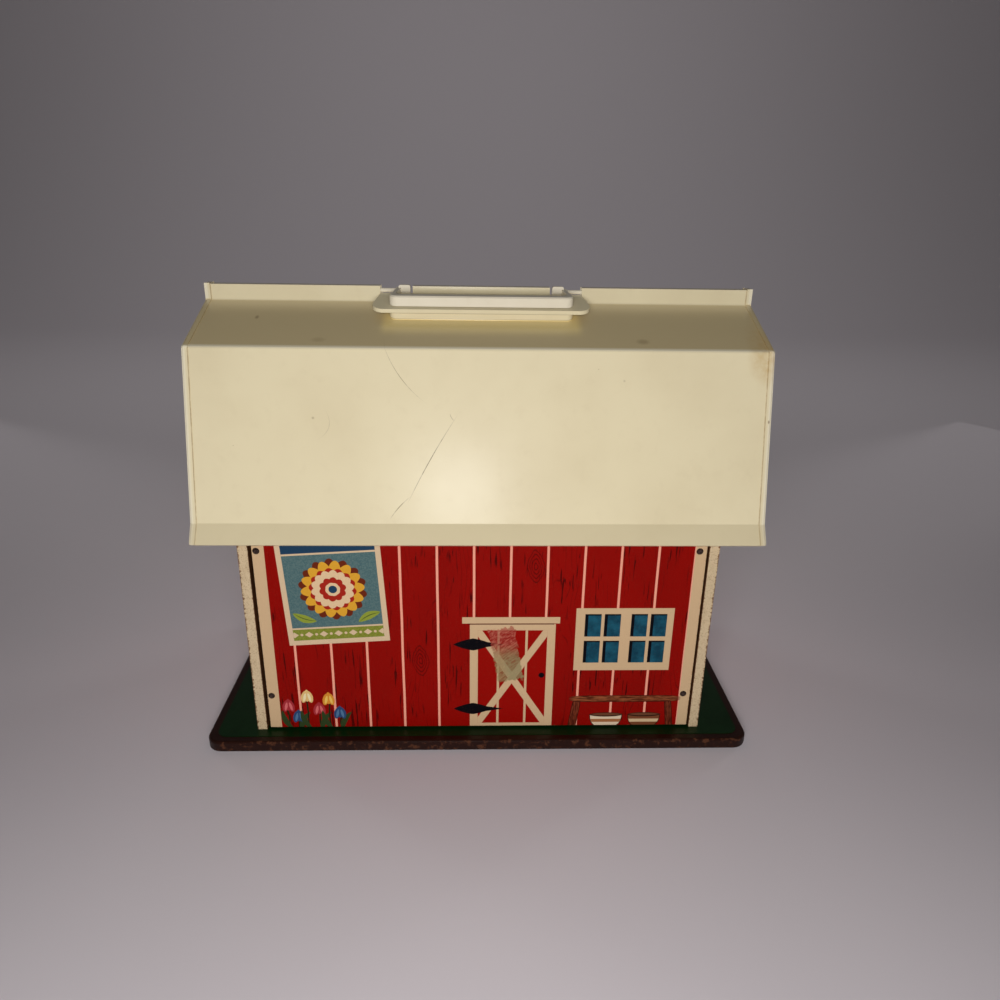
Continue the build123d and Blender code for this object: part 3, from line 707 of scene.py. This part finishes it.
def bench_print(r, at):
    """The printed bench, with two bowls under it."""
    level = Plane(at.x * 0.12, at.z * 1.1).noise(1.0, 1.0, 3.0, 0.6)
    upright = Plane(at.x * 1.1, at.z * 0.12).noise(1.0, 1.0, 3.0, 0.6)
    rail = r.mix(r.ramp(level, 0.4, 0.62), *RAIL_WOOD)
    leg = r.mix(r.ramp(upright, 0.4, 0.62), *LEG_WOOD)
    for number, (middle, half, turn, power) in enumerate(BENCH):
        r.lay(at.figure(middle, (half[0] + 0.45, half[1] + 0.45), turn, power), BENCH_OUTLINE)
        r.lay(at.figure(middle, half, turn, power), leg if number else rail)
    below_rim = r.ramp(at.z, BOWL_RIM - 0.8, BOWL_RIM - 0.4, 1.0, 0.0)
    for x, ink, stripe in BOWLS:
        bowl = at.figure((x, BOWL_RIM), BOWL_HALF, power=2.6)
        r.lay(at.figure((x, BOWL_RIM), BOWL_OUTLINE, power=2.6) * below_rim, BOWL_DARK)
        r.lay(bowl * below_rim, ink)
        r.lay(bowl * r.within(abs(at.z - STRIPE_HEIGHT), 1.2), stripe)
        r.lay(at.figure((x, BOWL_RIM - 0.5), (11.0, 1.7)), BOWL_DARK)
        r.lay(at.figure((x, BOWL_RIM - 0.3), (9.4, 1.0)), BOWL_INSIDE)


def notice_print(r, at):
    """The notice on the wall: a generic rosette on a teal ground, with a green foot."""
    note = Plane(*turned(at.x - NOTICE_CORNER[0], at.z - NOTICE_CORNER[1],
                         math.cos(NOTICE_TURN), math.sin(NOTICE_TURN)))
    half_width, half_height = NOTICE_HALF
    field_half = half_width - NOTICE_BORDER
    paper = r.ramp(note.noise(2.0, 1.2, 2.0, 0.7), 0.35, 0.7)

    def band(height, half):
        """A band from one border to the other."""
        return note.panel((half_width, height), (field_half, half))

    r.lay(note.panel(NOTICE_HALF, NOTICE_HALF), NOTICE_CREAM)
    r.lay(band(half_height, half_height - NOTICE_BORDER), r.mix(paper, *NOTICE_TEAL))
    head = half_height + (NOTICE_HEAD - NOTICE_BORDER) / 2
    r.lay(band(head, half_height - (NOTICE_HEAD + NOTICE_BORDER) / 2), NOTICE_BLUE)
    for height in (NOTICE_HEAD, FOOT_LINE):
        r.lay(band(height, 0.6), NOTICE_CREAM)
    foot = band(FOOT, FOOT_HALF)
    r.lay(foot, r.mix(paper, *NOTICE_OLIVE))
    beads = Plane(r.math("PINGPONG", note.x - half_width, BEAD_REACH), note.z)
    diamond = beads.figure((0.0, FOOT), (2.7, 2.0), power=1.0)
    dot = beads.figure((BEAD_REACH, FOOT), (0.9, 0.9))
    r.lay(foot * r.most(diamond, dot), NOTICE_CREAM)
    for number, (radius, petals, depth, ink) in enumerate(ROSETTE):
        r.lay(note.flower(ROSETTE_MIDDLE, radius, petals, depth, 11.0 * number), ink)
    for side in (-1, 1):
        stem = (half_width + side * 20.0, 18.6)
        r.lay(note.figure(stem, (7.6, 2.7), side * 24.0, 1.5, side * 1.0), NOTICE_LEAF)
        r.lay(note.figure(stem, (6.4, 0.3), side * 24.0, bow=side * 1.0), NOTICE_VEIN)


def plant_print(r, at):
    """A clump of generic tulips and leaves at the foot of the wall."""
    foot = FLOOR - 1.0
    for number, (x, top, lean, (ink, pale)) in enumerate(TULIPS):
        stem_half = (top - foot) / 2
        r.lay(Plane(at.z, at.x).figure((foot + stem_half, x), (stem_half, 0.5), 0.0, 12.0, lean), STEM_GREEN)
        side = 1 if number % 2 else -1
        leaf = at.figure((x + side * 2.6, foot + 7.6), (8.2, 1.9), side * 66.0, 1.6, side * 1.6)
        r.lay(leaf, LEAF_GREEN)
        r.lay(at.figure((x, top + 0.9), (1.9, 4.6), power=1.7), ink)
        for part in (-1, 1):
            r.lay(at.figure((x + part * 1.7, top), (2.1, 4.6), part * 13.0, 1.8), ink)
            r.lay(at.figure((x + part * 1.5, top - 0.4), (0.9, 3.2), part * 13.0, 1.8), pale)


def knot_print(r, at, middle, inks):
    """The pointed contour lines round a printed knot."""
    knot = Plane(at.x + (at.noise(8.0, 0.3, 2.0, 0.5) - 0.5) * 2.0, at.z)
    for half in KNOT_RINGS:
        outer = knot.figure(middle, half, 4.0, 1.45, soft=0.4)
        inner = knot.figure(middle, (half[0] - 0.4, half[1] - 1.0), 4.0, 1.45, soft=0.4)
        r.lay(r.math("SUBTRACT", outer, inner, clamp=True) * 0.75, inks.grain)


def bare_board(r, finishes):
    """The colour and the height of the hardboard under the print."""
    return r.group(hardboard_fibre, r.place, finishes.hardboard, shade(58, 34, 20))


def finish_print(r, face, rub, finishes):
    """Leaves a printed board's edges bare, rubs the print on its face, and gives the material."""
    bare, height = bare_board(r, finishes)
    worn = r.wear(0.35, rub, 0.05)
    speck = r.ramp(r.noise(r.place, 2.4, 2.0, 0.6), 0.66, 0.72)
    r.lay(speck * 0.3, shade(120, 84, 60))
    r.lay(worn * 0.8, shade(150, 112, 78))
    gloss = r.ramp(r.noise(r.place, 0.2, 3.0, 0.6), 0.3, 0.7, 0.38, 0.5)
    r.colour = r.mix(face, bare, r.colour)
    return r.finish(height, 0.06, 0.5, Roughness=r.between(face, 0.75, gloss), Specular_IOR_Level=0.06)


def back_panel_material(inks, finishes):
    """The printed back wall."""
    r = Surface("printed_back_wall")
    x, y, z = r.measures
    at = Plane(x, z)
    r.colour = boards(r, at, inks)
    for middle in BACK_KNOTS:
        knot_print(r, at, middle, inks)
    plant_print(r, at)
    notice_print(r, at)
    door_print(r, at, inks)
    torn_patch(r, at)
    window_print(r, at, inks)
    left_strip = r.ramp(x, BACK_STRIP_LEFT, BACK_STRIP_LEFT + 0.3, 1.0, 0.0)
    r.lay(r.most(left_strip, r.ramp(x, STRIP_EDGE, STRIP_EDGE + 0.3)), inks.cream)
    bench_print(r, at)
    face = r.ramp(y, BACK_FACE + 0.3, BACK_FACE + 0.5, 1.0, 0.0)
    to_side = r.least(x - BACK[0].x, BACK[1].x - x)
    rub = r.ramp(r.least(to_side, z - BACK[0].z), 0.0, 1.2, 0.6, 0.08)
    return finish_print(r, face, rub, finishes)


def front_wall_material(inks, finishes):
    """The printed wall round the doors."""
    r = Surface("printed_front_wall")
    x, y, z = r.measures
    r.colour = boards(r, Plane(x, z), inks)
    strip = r.ramp(abs(x), STRIP_EDGE, STRIP_EDGE + 0.3)
    to_door = r.most(abs(x) - DOORWAY_HALF, z - DOORWAY_TOP)
    r.lay(r.most(strip, r.ramp(to_door, 4.0, 4.3, 1.0, 0.0)), inks.cream)
    face = r.ramp(y, FRONT_FACE - 0.5, FRONT_FACE - 0.3)
    return finish_print(r, face, r.ramp(to_door, 0.0, 3.0, 0.6, 0.12), finishes)


def door_material(node, inks, finishes):
    """A printed door leaf with a cream frame and brace."""
    r = Surface("printed_" + node)
    low, high = in_mm(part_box(node))
    x, y, z = r.measures
    middle, half = (low + high) / 2, (high - low) / 2
    u, v = x - middle.x, z - middle.z
    r.colour = boards(r, Plane(x, z), inks)
    to_edge = r.least(half.x - abs(u), half.z - abs(v))
    lean = 1 if middle.x > 0 else -1
    brace = r.ramp(off_brace(u, v, lean * half.x, half.z), 2.4, 2.7, 1.0, 0.0)
    r.lay(r.most(brace, r.ramp(to_edge, 5.0, 5.3, 1.0, 0.0)), inks.cream)
    face = r.ramp(y, FRONT_FACE - 0.5, FRONT_FACE - 0.3)
    return finish_print(r, face, r.ramp(to_edge, 0.0, 2.5, 0.65, 0.12), finishes)


def end_wall_material(node, inks, finishes):
    """An end wall: printed outside, bare inside, with painted edges that are scuffed to the board."""
    r = Surface("edge_painted_" + node)
    low, high = in_mm(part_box(node))
    x, y, z = r.measures
    out = 1 if low.x > 0 else -1
    outer, inner = (high.x, low.x) if out > 0 else (low.x, high.x)
    bare, height = bare_board(r, finishes)
    at = Plane(y, z)
    r.colour = boards(r, at, inks)
    knot_print(r, at, (-32.0 * out, 148.0), inks)
    r.lay(r.ramp(abs(y), high.y - 7.6, high.y - 7.3), inks.cream)
    side = y * out
    for middle in GABLE_WINDOWS:
        window_print(r, Plane(side + WINDOW_MIDDLE[0], z - (middle - WINDOW_MIDDLE[1])), inks)
    printed = r.colour
    to_outer, to_inner = abs(x - outer), abs(x - inner)
    on_face = r.most(r.within(to_outer, 0.3, 0.1), r.within(to_inner, 0.3, 0.1))
    from_side = r.least(to_outer, to_inner + 0.6)
    nearest = r.between(on_face, from_side, high.y - abs(y) + 0.2)
    grime = r.noise(r.place, 0.16, 4.0, 0.65)
    paint = r.mix(r.ramp(grime, 0.45, 0.8) * 0.3, finishes.edge_paint, shade(150, 122, 84))
    r.colour = r.mix(r.ramp(to_outer, 0.12, 0.2, 1.0, 0.0), paint, printed)
    r.lay(r.ramp(to_inner, 0.12, 0.2, 1.0, 0.0), bare)
    bite = r.noise(r.join(0.0, y * 0.12, z), 0.34, 3.0, 0.7)
    chip = r.within(nearest, r.ramp(bite, 0.4, 0.68, -0.1, 1.5), 0.12)
    dust = r.ramp(r.noise(r.place, 1.3, 3.0, 0.7), 0.56, 0.62) * r.ramp(to_outer, 0.2, 0.4) * 0.55
    worn = r.wear(0.75, r.ramp(nearest, 0.0, 1.6, 0.6, 0.26), 0.06)
    worn = r.most(r.most(worn, chip), dust)
    r.lay(worn * 0.9, bare)
    return r.finish(height - worn, 0.1, 0.7, Roughness=r.between(worn, 0.5, 0.8))


def mark_back_roof(r, depth, slope, off_slope, upper, ledge, streak):
    """The marks on the roof's back half: a painted reflection of the ledge on the upper slope, a painted
    shadow under the ledge, scratches, spots and a burn.
    """
    x, y, z = r.measures
    beside = r.ramp(abs(x), 56.0, 62.0, 1.0, 0.0)
    # Painted reflection of the ledge and boss: a pale yellow band on the upper slope below them
    handled = beside * upper * r.within(off_slope, 0.4) * r.ramp(depth, 30.0, 44.0, 1.0, 0.0)
    r.lay(handled * 0.85, HANDLED)
    lower = depth + z * LOWER_FALL
    outside = r.most(r.ramp(lower, LOWER_REACH - 1.7, LOWER_REACH - 0.7),
                     r.ramp(slope, UPPER_REACH - 1.7, UPPER_REACH - 0.7))
    under = LEDGE_UNDER - (z + depth * LEDGE_FALL)
    # Painted shadow: a dark line just under the ledge plate
    r.lay(ledge * r.within(abs(under - 0.6), 0.5, 0.5) * 0.85, SEAM_DIRT)
    at = Plane(x, z)
    broken = r.ramp(streak, 0.35, 0.6, 0.4, 0.85)
    for middle, half, turn, bow in SCRATCHES:
        r.lay(at.figure(middle, half, turn, bow=bow, soft=0.2) * broken * outside, SCRATCH_DIRT)
    for middle, half, strength in ROOF_MARKS:
        r.lay(at.figure(middle, half, soft=0.8) * outside * strength, SPOT_DIRT)
    burn = at.figure(*BURN, soft=9.0)
    r.lay(burn * r.ramp(streak, 0.3, 0.7, 0.2, 0.5), BURN_BROWN)


def roof_material(node, finishes):
    """The moulded roof: aged cream with grime in its end creases, painted shade on its upper slope and
    flare, painted highlights along its rims and break, and a painted reflection below its flange.
    """
    r = Surface("moulded_" + node)
    x, y, z = r.measures
    r.colour, roughness, height = r.group(
        moulded_skin, r.place, finishes.roof, ROOF_DIRT, specks=0.55, gloss=0.28)
    from_end = ROOF_END - abs(x)
    streak = r.noise(r.place, 0.25, 4.0, 0.6)
    r.lay(r.within(abs(from_end - 3.6), 0.2, 0.35) * r.ramp(streak, 0.3, 0.62, 0.25, 0.75), CREASE_DIRT)
    # Painted highlight with rubbing: a paler band along each end's rounded rim, partly highlight and partly
    # rub
    r.lay(r.ramp(from_end, 1.2, 2.6, 0.55, 0.0), RUBBED_RIM)
    depth = abs(y)
    slope = depth * UPPER_FALL + z
    off_slope = abs(slope - UPPER_REACH)
    on_slope = r.within(off_slope, 0.9)
    upper = on_slope * r.ramp(z, BREAK_HEIGHT + 0.2, BREAK_HEIGHT + 1.2) * r.ramp(depth, 4.3, 4.8)
    # Painted shade with age: the upper slope is darkened, partly as shade from the light falling low on it
    # and partly as yellowing and dust
    r.lay(upper * 0.9, UPPER_AGED)
    # Painted shade with age: the flared eave is darkened, partly as shade from its tilt and partly as
    # yellowing
    r.lay(r.ramp(z, FLARE_HEIGHT - 0.4, FLARE_HEIGHT + 0.4, 0.4, 0.0), FLARE_AGED)
    # Painted highlight with wear: a pale line along the break between the slopes
    r.lay(r.within(abs(z - (BREAK_HEIGHT + 0.4)), 0.5, 0.6) * 0.7, BREAK_BRIGHT)
    # Painted reflection of the flange: a paler band on the upper slope next to it
    r.lay(upper * r.ramp(depth, 4.2, 15.0, 1.0, 0.0) * 0.6, ROOT_PALE)
    ledge = r.ramp(z, 262.0, 264.0) * r.ramp(depth, 8.0, 9.0) * (1.0 - on_slope)
    if node == "back_roof":
        mark_back_roof(r, depth, slope, off_slope, upper, ledge, streak)
    return r.finish(height, 0.04, 0.3, Roughness=r.between(ledge, roughness, 0.6), Specular_IOR_Level=0.5,
                    Coat_Weight=r.between(ledge, 0.5, 0.0), Coat_Roughness=0.2)


def handle_material(finishes):
    """The white moulded handle."""
    r = Surface("moulded_handle")
    r.colour, roughness, height = r.group(
        moulded_skin, r.place, finishes.handle, shade(164, 142, 104), specks=0.4, gloss=0.26)
    return r.finish(height, 0.03, 0.3, Roughness=roughness, Specular_IOR_Level=0.3)


def base_material(finishes):
    """The stained hardboard base, rubbed along its edges."""
    r = Surface("stained_base")
    x, y, z = r.measures
    r.colour, height = r.group(hardboard_fibre, r.place, finishes.base, shade(24, 12, 8))
    to_edge = r.least(BASE_CORNER.x - abs(x), BASE_CORNER.y - abs(y))
    worn = r.wear(0.22, r.ramp(to_edge, 0.2, 2.4, 0.5, 0.1), 0.08)
    r.lay(worn * 0.55, shade(96, 58, 38))
    return r.finish(height, 0.12, 0.6, Roughness=r.between(worn, 0.42, 0.7), Specular_IOR_Level=0.2)


def sheet_material(finishes):
    """The printed green sheet on the base."""
    r = Surface("printed_grass")
    blades = r.noise(r.place, 0.9, 4.0, 0.7, 0.4)
    patch = r.noise(r.place, 0.045, 3.0, 0.6)
    r.colour = r.mix(r.ramp(blades, 0.4, 0.75, 0.0, 0.5), finishes.grass, shade(14, 48, 16))
    r.lay(r.ramp(patch, 0.4, 0.8, 0.0, 0.5), shade(5, 22, 8))
    r.lay(r.wear(0.3, 0.14, 0.05) * 0.5, shade(92, 84, 56))
    return r.finish(blades, 0.04, 0.4, Roughness=r.ramp(patch, 0.3, 0.8, 0.34, 0.5), Specular_IOR_Level=0.2)


def pine_material(name, direction, finishes):
    """Planed pine whose grain runs along one direction."""
    r = Surface(name)
    x, y, z = r.measures
    along = r.join(y, x, z) if direction == "z" else r.join(y, z, x)
    r.colour, height = r.group(timber_grain, along, finishes.pine, shade(150, 102, 54))
    r.lay(r.wear(0.3, 0.18, 0.1) * 0.4, shade(120, 84, 50))
    return r.finish(height, 0.08, 0.6, Roughness=0.6)


def loft_material(finishes):
    """The loft board: straw print on top, bare board below."""
    r = Surface("printed_loft")
    x, y, z = r.measures
    bare, height = bare_board(r, finishes)
    straw = r.noise(r.join(x * 0.3, y * 1.2, 0.0), 1.0, 4.0, 0.7, 1.2)
    printed = r.mix(r.ramp(straw, 0.35, 0.7), shade(150, 112, 52), shade(206, 172, 96))
    r.colour = r.mix(r.ramp(z, LOFT_TOP - 0.4, LOFT_TOP - 0.2), bare, printed)
    return r.finish(height, 0.1, 0.5, Roughness=0.6)


def metal_material(name, colour, tarnish, metallic):
    """Aged metal: bright where rubbed, dull in patches."""
    r = Surface(name)
    patch = r.noise(r.place, 0.9, 5.0, 0.65)
    r.colour = r.mix(r.ramp(patch, 0.38, 0.7), colour, tarnish)
    r.lay(r.wear(0.8, 0.45, 0.12) * 0.5, colour)
    return r.finish(patch, 0.03, 0.4, Metallic=metallic, Roughness=r.ramp(patch, 0.3, 0.7, 0.3, 0.5))


def knob_material():
    """A painted turned knob."""
    r = Surface("painted_knob")
    patch = r.noise(r.place, 0.5, 3.0, 0.6)
    r.colour = r.mix(patch * 0.3, shade(222, 206, 176), shade(190, 160, 116))
    r.lay(r.wear(0.7, 0.35, 0.08) * 0.7, shade(150, 110, 66))
    return r.finish(patch, 0.05, 0.4, Roughness=0.4)


def select_only(piece):
    """Makes one object the only selected and active one."""
    bpy.ops.object.select_all(action="DESELECT")
    piece.select_set(True)
    bpy.context.view_layer.objects.active = piece


def modify(piece, kind, **settings):
    """Adds a modifier with its settings and applies it."""
    select_only(piece)
    modifier = piece.modifiers.new(kind, kind)
    for name, value in settings.items():
        setattr(modifier, name, value)
    bpy.ops.object.modifier_apply(modifier=kind)


def give_material(piece, material):
    """Gives a whole piece one material."""
    piece.data.materials.clear()
    piece.data.materials.append(material)
    for face in piece.data.polygons:
        face.material_index = 0


EASE_ANGLE = math.radians(32.0)


def eased_piece(node, material, width, segments=2):
    """A copy of a node with merged faces, and edges rounded by a width in mm, which stands for it."""
    source = frame["nodes"][node]
    piece = bpy.data.objects.new("eased_" + node, source.data.copy())
    bpy.context.scene.collection.objects.link(piece)
    select_only(piece)
    bpy.ops.object.mode_set(mode="EDIT")
    bpy.ops.mesh.select_all(action="SELECT")
    bpy.ops.mesh.remove_doubles(threshold=0.00001)
    bpy.ops.mesh.select_all(action="SELECT")
    bpy.ops.mesh.dissolve_limited(angle_limit=math.radians(0.5))
    bpy.ops.mesh.select_all(action="SELECT")
    bpy.ops.mesh.normals_make_consistent(inside=False)
    bpy.ops.object.mode_set(mode="OBJECT")
    modify(piece, "BEVEL", width=width * MM, segments=segments, limit_method="ANGLE",
           angle_limit=EASE_ANGLE, use_clamp_overlap=True)
    bpy.ops.object.shade_smooth_by_angle(angle=EASE_ANGLE)
    modify(piece, "WEIGHTED_NORMAL", keep_sharp=True)
    give_material(piece, material)
    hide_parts(node)
    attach(piece, source["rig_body"])


def eased_pieces(nodes, material, width, segments=2):
    """Several nodes eased alike, in one material."""
    for node in nodes:
        eased_piece(node, material, width, segments)


def paper_sweep(colour):
    """The floor and its backdrop, as one sweep of paper."""
    bpy.ops.object.select_all(action="DESELECT")
    bpy.ops.mesh.primitive_plane_add(size=12.0, location=(0.0, -3.0, 0.0))
    floor = bpy.context.object
    floor.name = "stage_floor"
    select_only(floor)
    bpy.ops.object.mode_set(mode="EDIT")
    bpy.ops.mesh.select_all(action="DESELECT")
    bpy.ops.object.mode_set(mode="OBJECT")
    for edge in floor.data.edges:
        edge.select = all(floor.data.vertices[v].co.y > 0.0 for v in edge.vertices)
    bpy.ops.object.mode_set(mode="EDIT")
    bpy.ops.mesh.extrude_region_move(TRANSFORM_OT_translate={"value": (0.0, 0.0, 3.0)})
    bpy.ops.object.mode_set(mode="OBJECT")
    modify(floor, "BEVEL", width=1.4, segments=24)
    bpy.ops.object.shade_smooth()
    r = Surface("stage_paper")
    r.colour = colour
    give_material(floor, r.finish(Roughness=0.85))
    floor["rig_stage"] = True


def light_room(settings):
    """The even light of the room, and the grey that the camera sees beyond the backdrop."""
    world = bpy.data.worlds.new("room")
    bpy.context.scene.world = world
    world.use_nodes = True
    r = Recipe(world.node_tree)
    light = r.add("Background", {"Color": (1.0, 1.0, 1.0, 1.0), "Strength": settings.sky_strength})[0]
    seen = r.add("Background", {"Color": settings.room_colour})[0]
    camera_ray = r.add("LightPath")[0]
    both = r.add("MixShader", {0: camera_ray, 1: light, 2: seen})[0]
    r.put(world.node_tree.nodes["World Output"].inputs["Surface"], both)


def add_lamp(name, place, target, size, power):
    """A square lamp that shines at a target."""
    aim = (Vector(target) - Vector(place)).to_track_quat("-Z", "Y").to_euler()
    bpy.ops.object.light_add(type="AREA", location=place, rotation=aim)
    lamp = bpy.context.object
    lamp.name = name
    lamp.data.size = size
    lamp.data.energy = power
    lamp.visible_camera = False
    return lamp


def place_camera(settings):
    """The camera, turned by its yaw, then its pitch, then its roll."""
    pitch, yaw, roll = settings.camera_pitch, settings.camera_yaw, settings.camera_roll
    ahead = Vector((math.sin(yaw) * math.cos(pitch), math.cos(yaw) * math.cos(pitch), -math.sin(pitch)))
    level = Vector((math.cos(yaw), -math.sin(yaw), 0.0))
    above = level.cross(ahead)
    right = level * math.cos(roll) + above * math.sin(roll)
    up = above * math.cos(roll) - level * math.sin(roll)
    turn = Matrix((right, up, -ahead)).transposed()
    bpy.ops.object.camera_add(location=settings.camera_place, rotation=turn.to_euler())
    camera = bpy.context.object
    camera.name = "photo_camera"
    camera.data.lens = settings.camera_lens
    camera.data.sensor_width = 36.0
    camera.data.clip_start = 0.01
    bpy.context.scene.camera = camera


class BARN_OT_stage(bpy.types.Operator):
    """Builds the floor, the lights and the camera"""

    bl_idname = "barn.stage"
    bl_label = "Stage, lights and camera"

    def execute(self, context):
        settings = context.scene.barn_stage
        paper_sweep(settings.floor_colour)
        context.scene.view_settings.view_transform = "Standard"
        light_room(settings)
        key = add_lamp("key", (-0.026, -0.71, 0.304), (0.0, 0.0, 0.15), 0.32, settings.key_power)
        key.visible_glossy = False
        gloss = add_lamp("gloss", (-0.021, -0.527, 0.212), (0.0, -0.07, 0.2), 0.09, settings.gloss_power)
        gloss.visible_diffuse = False
        for name, place, power in (
                ("left", (-0.9, 0.62, 0.14), settings.side_power),
                ("right", (0.9, 0.62, 0.14), settings.side_power),
                ("rear", (0.0, 1.0, 0.15), settings.rear_power)):
            lamp = add_lamp(name, place, (0.0, 0.0, 0.16), 0.3, power)
            lamp.data.spread = math.radians(34.0)
            lamp.visible_glossy = False
        add_lamp("backdrop", (0.0, 1.0, 1.6), (0.0, 2.6, 0.5), 2.0, settings.fill_power)
        place_camera(settings)
        return {"FINISHED"}


class BARN_OT_roof(bpy.types.Operator):
    """Finishes the two moulded roof halves"""

    bl_idname = "barn.roof"
    bl_label = "Roof halves"

    def execute(self, context):
        for node in ("back_roof", "front_roof"):
            eased_piece(node, roof_material(node, context.scene.barn_finish), 0.35)
        return {"FINISHED"}


class BARN_OT_handle(bpy.types.Operator):
    """Finishes the folding handle"""

    bl_idname = "barn.handle"
    bl_label = "Carry handle"

    def execute(self, context):
        eased_piece("carry_handle", handle_material(context.scene.barn_finish), 0.5, 3)
        return {"FINISHED"}


class BARN_OT_walls(bpy.types.Operator):
    """Finishes the printed walls, their doors and the end walls"""

    bl_idname = "barn.walls"
    bl_label = "Printed walls"

    def execute(self, context):
        inks, finishes = context.scene.barn_print, context.scene.barn_finish
        eased_piece("back_panel", back_panel_material(inks, finishes), 0.3)
        eased_piece("front_wall", front_wall_material(inks, finishes), 0.3)
        for node in ("door_left", "door_right"):
            eased_piece(node, door_material(node, inks, finishes), 0.4)
        for node in ("end_wall_left", "end_wall_right"):
            eased_piece(node, end_wall_material(node, inks, finishes), 0.4)
        return {"FINISHED"}


class BARN_OT_timber(bpy.types.Operator):
    """Finishes the posts, strips and loft board"""

    bl_idname = "barn.timber"
    bl_label = "Posts, strips and loft"

    def execute(self, context):
        finishes = context.scene.barn_finish
        eased_pieces(("front_post_left", "front_post_right", "back_post_left", "back_post_right"),
                     pine_material("pine_upright", "z", finishes), 0.5)
        eased_pieces(("back_top_rail", "door_header", "loft_cleat_left", "loft_cleat_right"),
                     pine_material("pine_level", "x", finishes), 0.5)
        eased_piece("loft_floor", loft_material(finishes), 0.3)
        return {"FINISHED"}


class BARN_OT_base(bpy.types.Operator):
    """Finishes the base board and its printed sheet"""

    bl_idname = "barn.base"
    bl_label = "Base"

    def execute(self, context):
        finishes = context.scene.barn_finish
        eased_piece("base_board", base_material(finishes), 0.6, 3)
        give_material(frame["nodes"]["base_sheet"], sheet_material(finishes))
        return {"FINISHED"}


class BARN_OT_hardware(bpy.types.Operator):
    """Finishes the nails, screws, pins, hinges and knobs"""

    bl_idname = "barn.hardware"
    bl_label = "Hardware"

    def execute(self, context):
        dark = metal_material("dark_steel", shade(84, 66, 60), shade(44, 32, 30), 0.7)
        bright = metal_material("plated_steel", shade(178, 176, 170), shade(112, 104, 92), 1.0)
        enamel = metal_material("black_enamel", shade(22, 22, 24), shade(34, 30, 28), 0.0)
        eased_pieces(("panel_nails", "wall_nails"), dark, 0.5, 3)
        eased_pieces(("pivot_pin_left", "pivot_pin_right"), dark, 0.3)
        eased_pieces(("front_roof_screws", "back_roof_screws"), bright, 0.25)
        eased_pieces(("hinge_frame_leaves", "door_left_straps", "door_right_straps"), enamel, 0.2)
        eased_pieces(("door_left_knob", "door_right_knob"), knob_material(), 0.3)
        return {"FINISHED"}


OPERATORS = (
    BARN_OT_stage, BARN_OT_roof, BARN_OT_handle, BARN_OT_walls, BARN_OT_timber, BARN_OT_base,
    BARN_OT_hardware,
)


class BARN_PT_panel(bpy.types.Panel):
    """Lists the steps that dress the barn"""

    bl_label = "Toy barn"
    bl_idname = "BARN_PT_panel"
    bl_space_type = "VIEW_3D"
    bl_region_type = "UI"
    bl_category = "Barn"

    def draw(self, context):
        for operator in OPERATORS:
            self.layout.operator(operator.bl_idname)
        for group in SETTINGS:
            settings = getattr(context.scene, group)
            box = self.layout.box()
            for name in settings.__annotations__:
                box.prop(settings, name)


SETTINGS = {
    "barn_stage": BarnStageSettings, "barn_print": BarnPrintSettings, "barn_finish": BarnFinishSettings,
}
CLASSES = (*SETTINGS.values(), *OPERATORS, BARN_PT_panel)


def register():
    """Registers the classes and hangs the settings on the scene."""
    for each in CLASSES:
        bpy.utils.register_class(each)
    for name, settings in SETTINGS.items():
        setattr(bpy.types.Scene, name, bpy.props.PointerProperty(type=settings))


def unregister():
    """Takes the settings and the classes away again."""
    for name in SETTINGS:
        delattr(bpy.types.Scene, name)
    for each in reversed(CLASSES):
        bpy.utils.unregister_class(each)


def main():
    register()
    for operator in OPERATORS:
        group, name = operator.bl_idname.split(".")
        getattr(getattr(bpy.ops, group), name)()
    boxes = {"cad": CAD_BOX, "visual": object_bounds()}
    plain = {label: [list(corner) for corner in box] for label, box in boxes.items()}


if __name__ == "__main__":
    main()
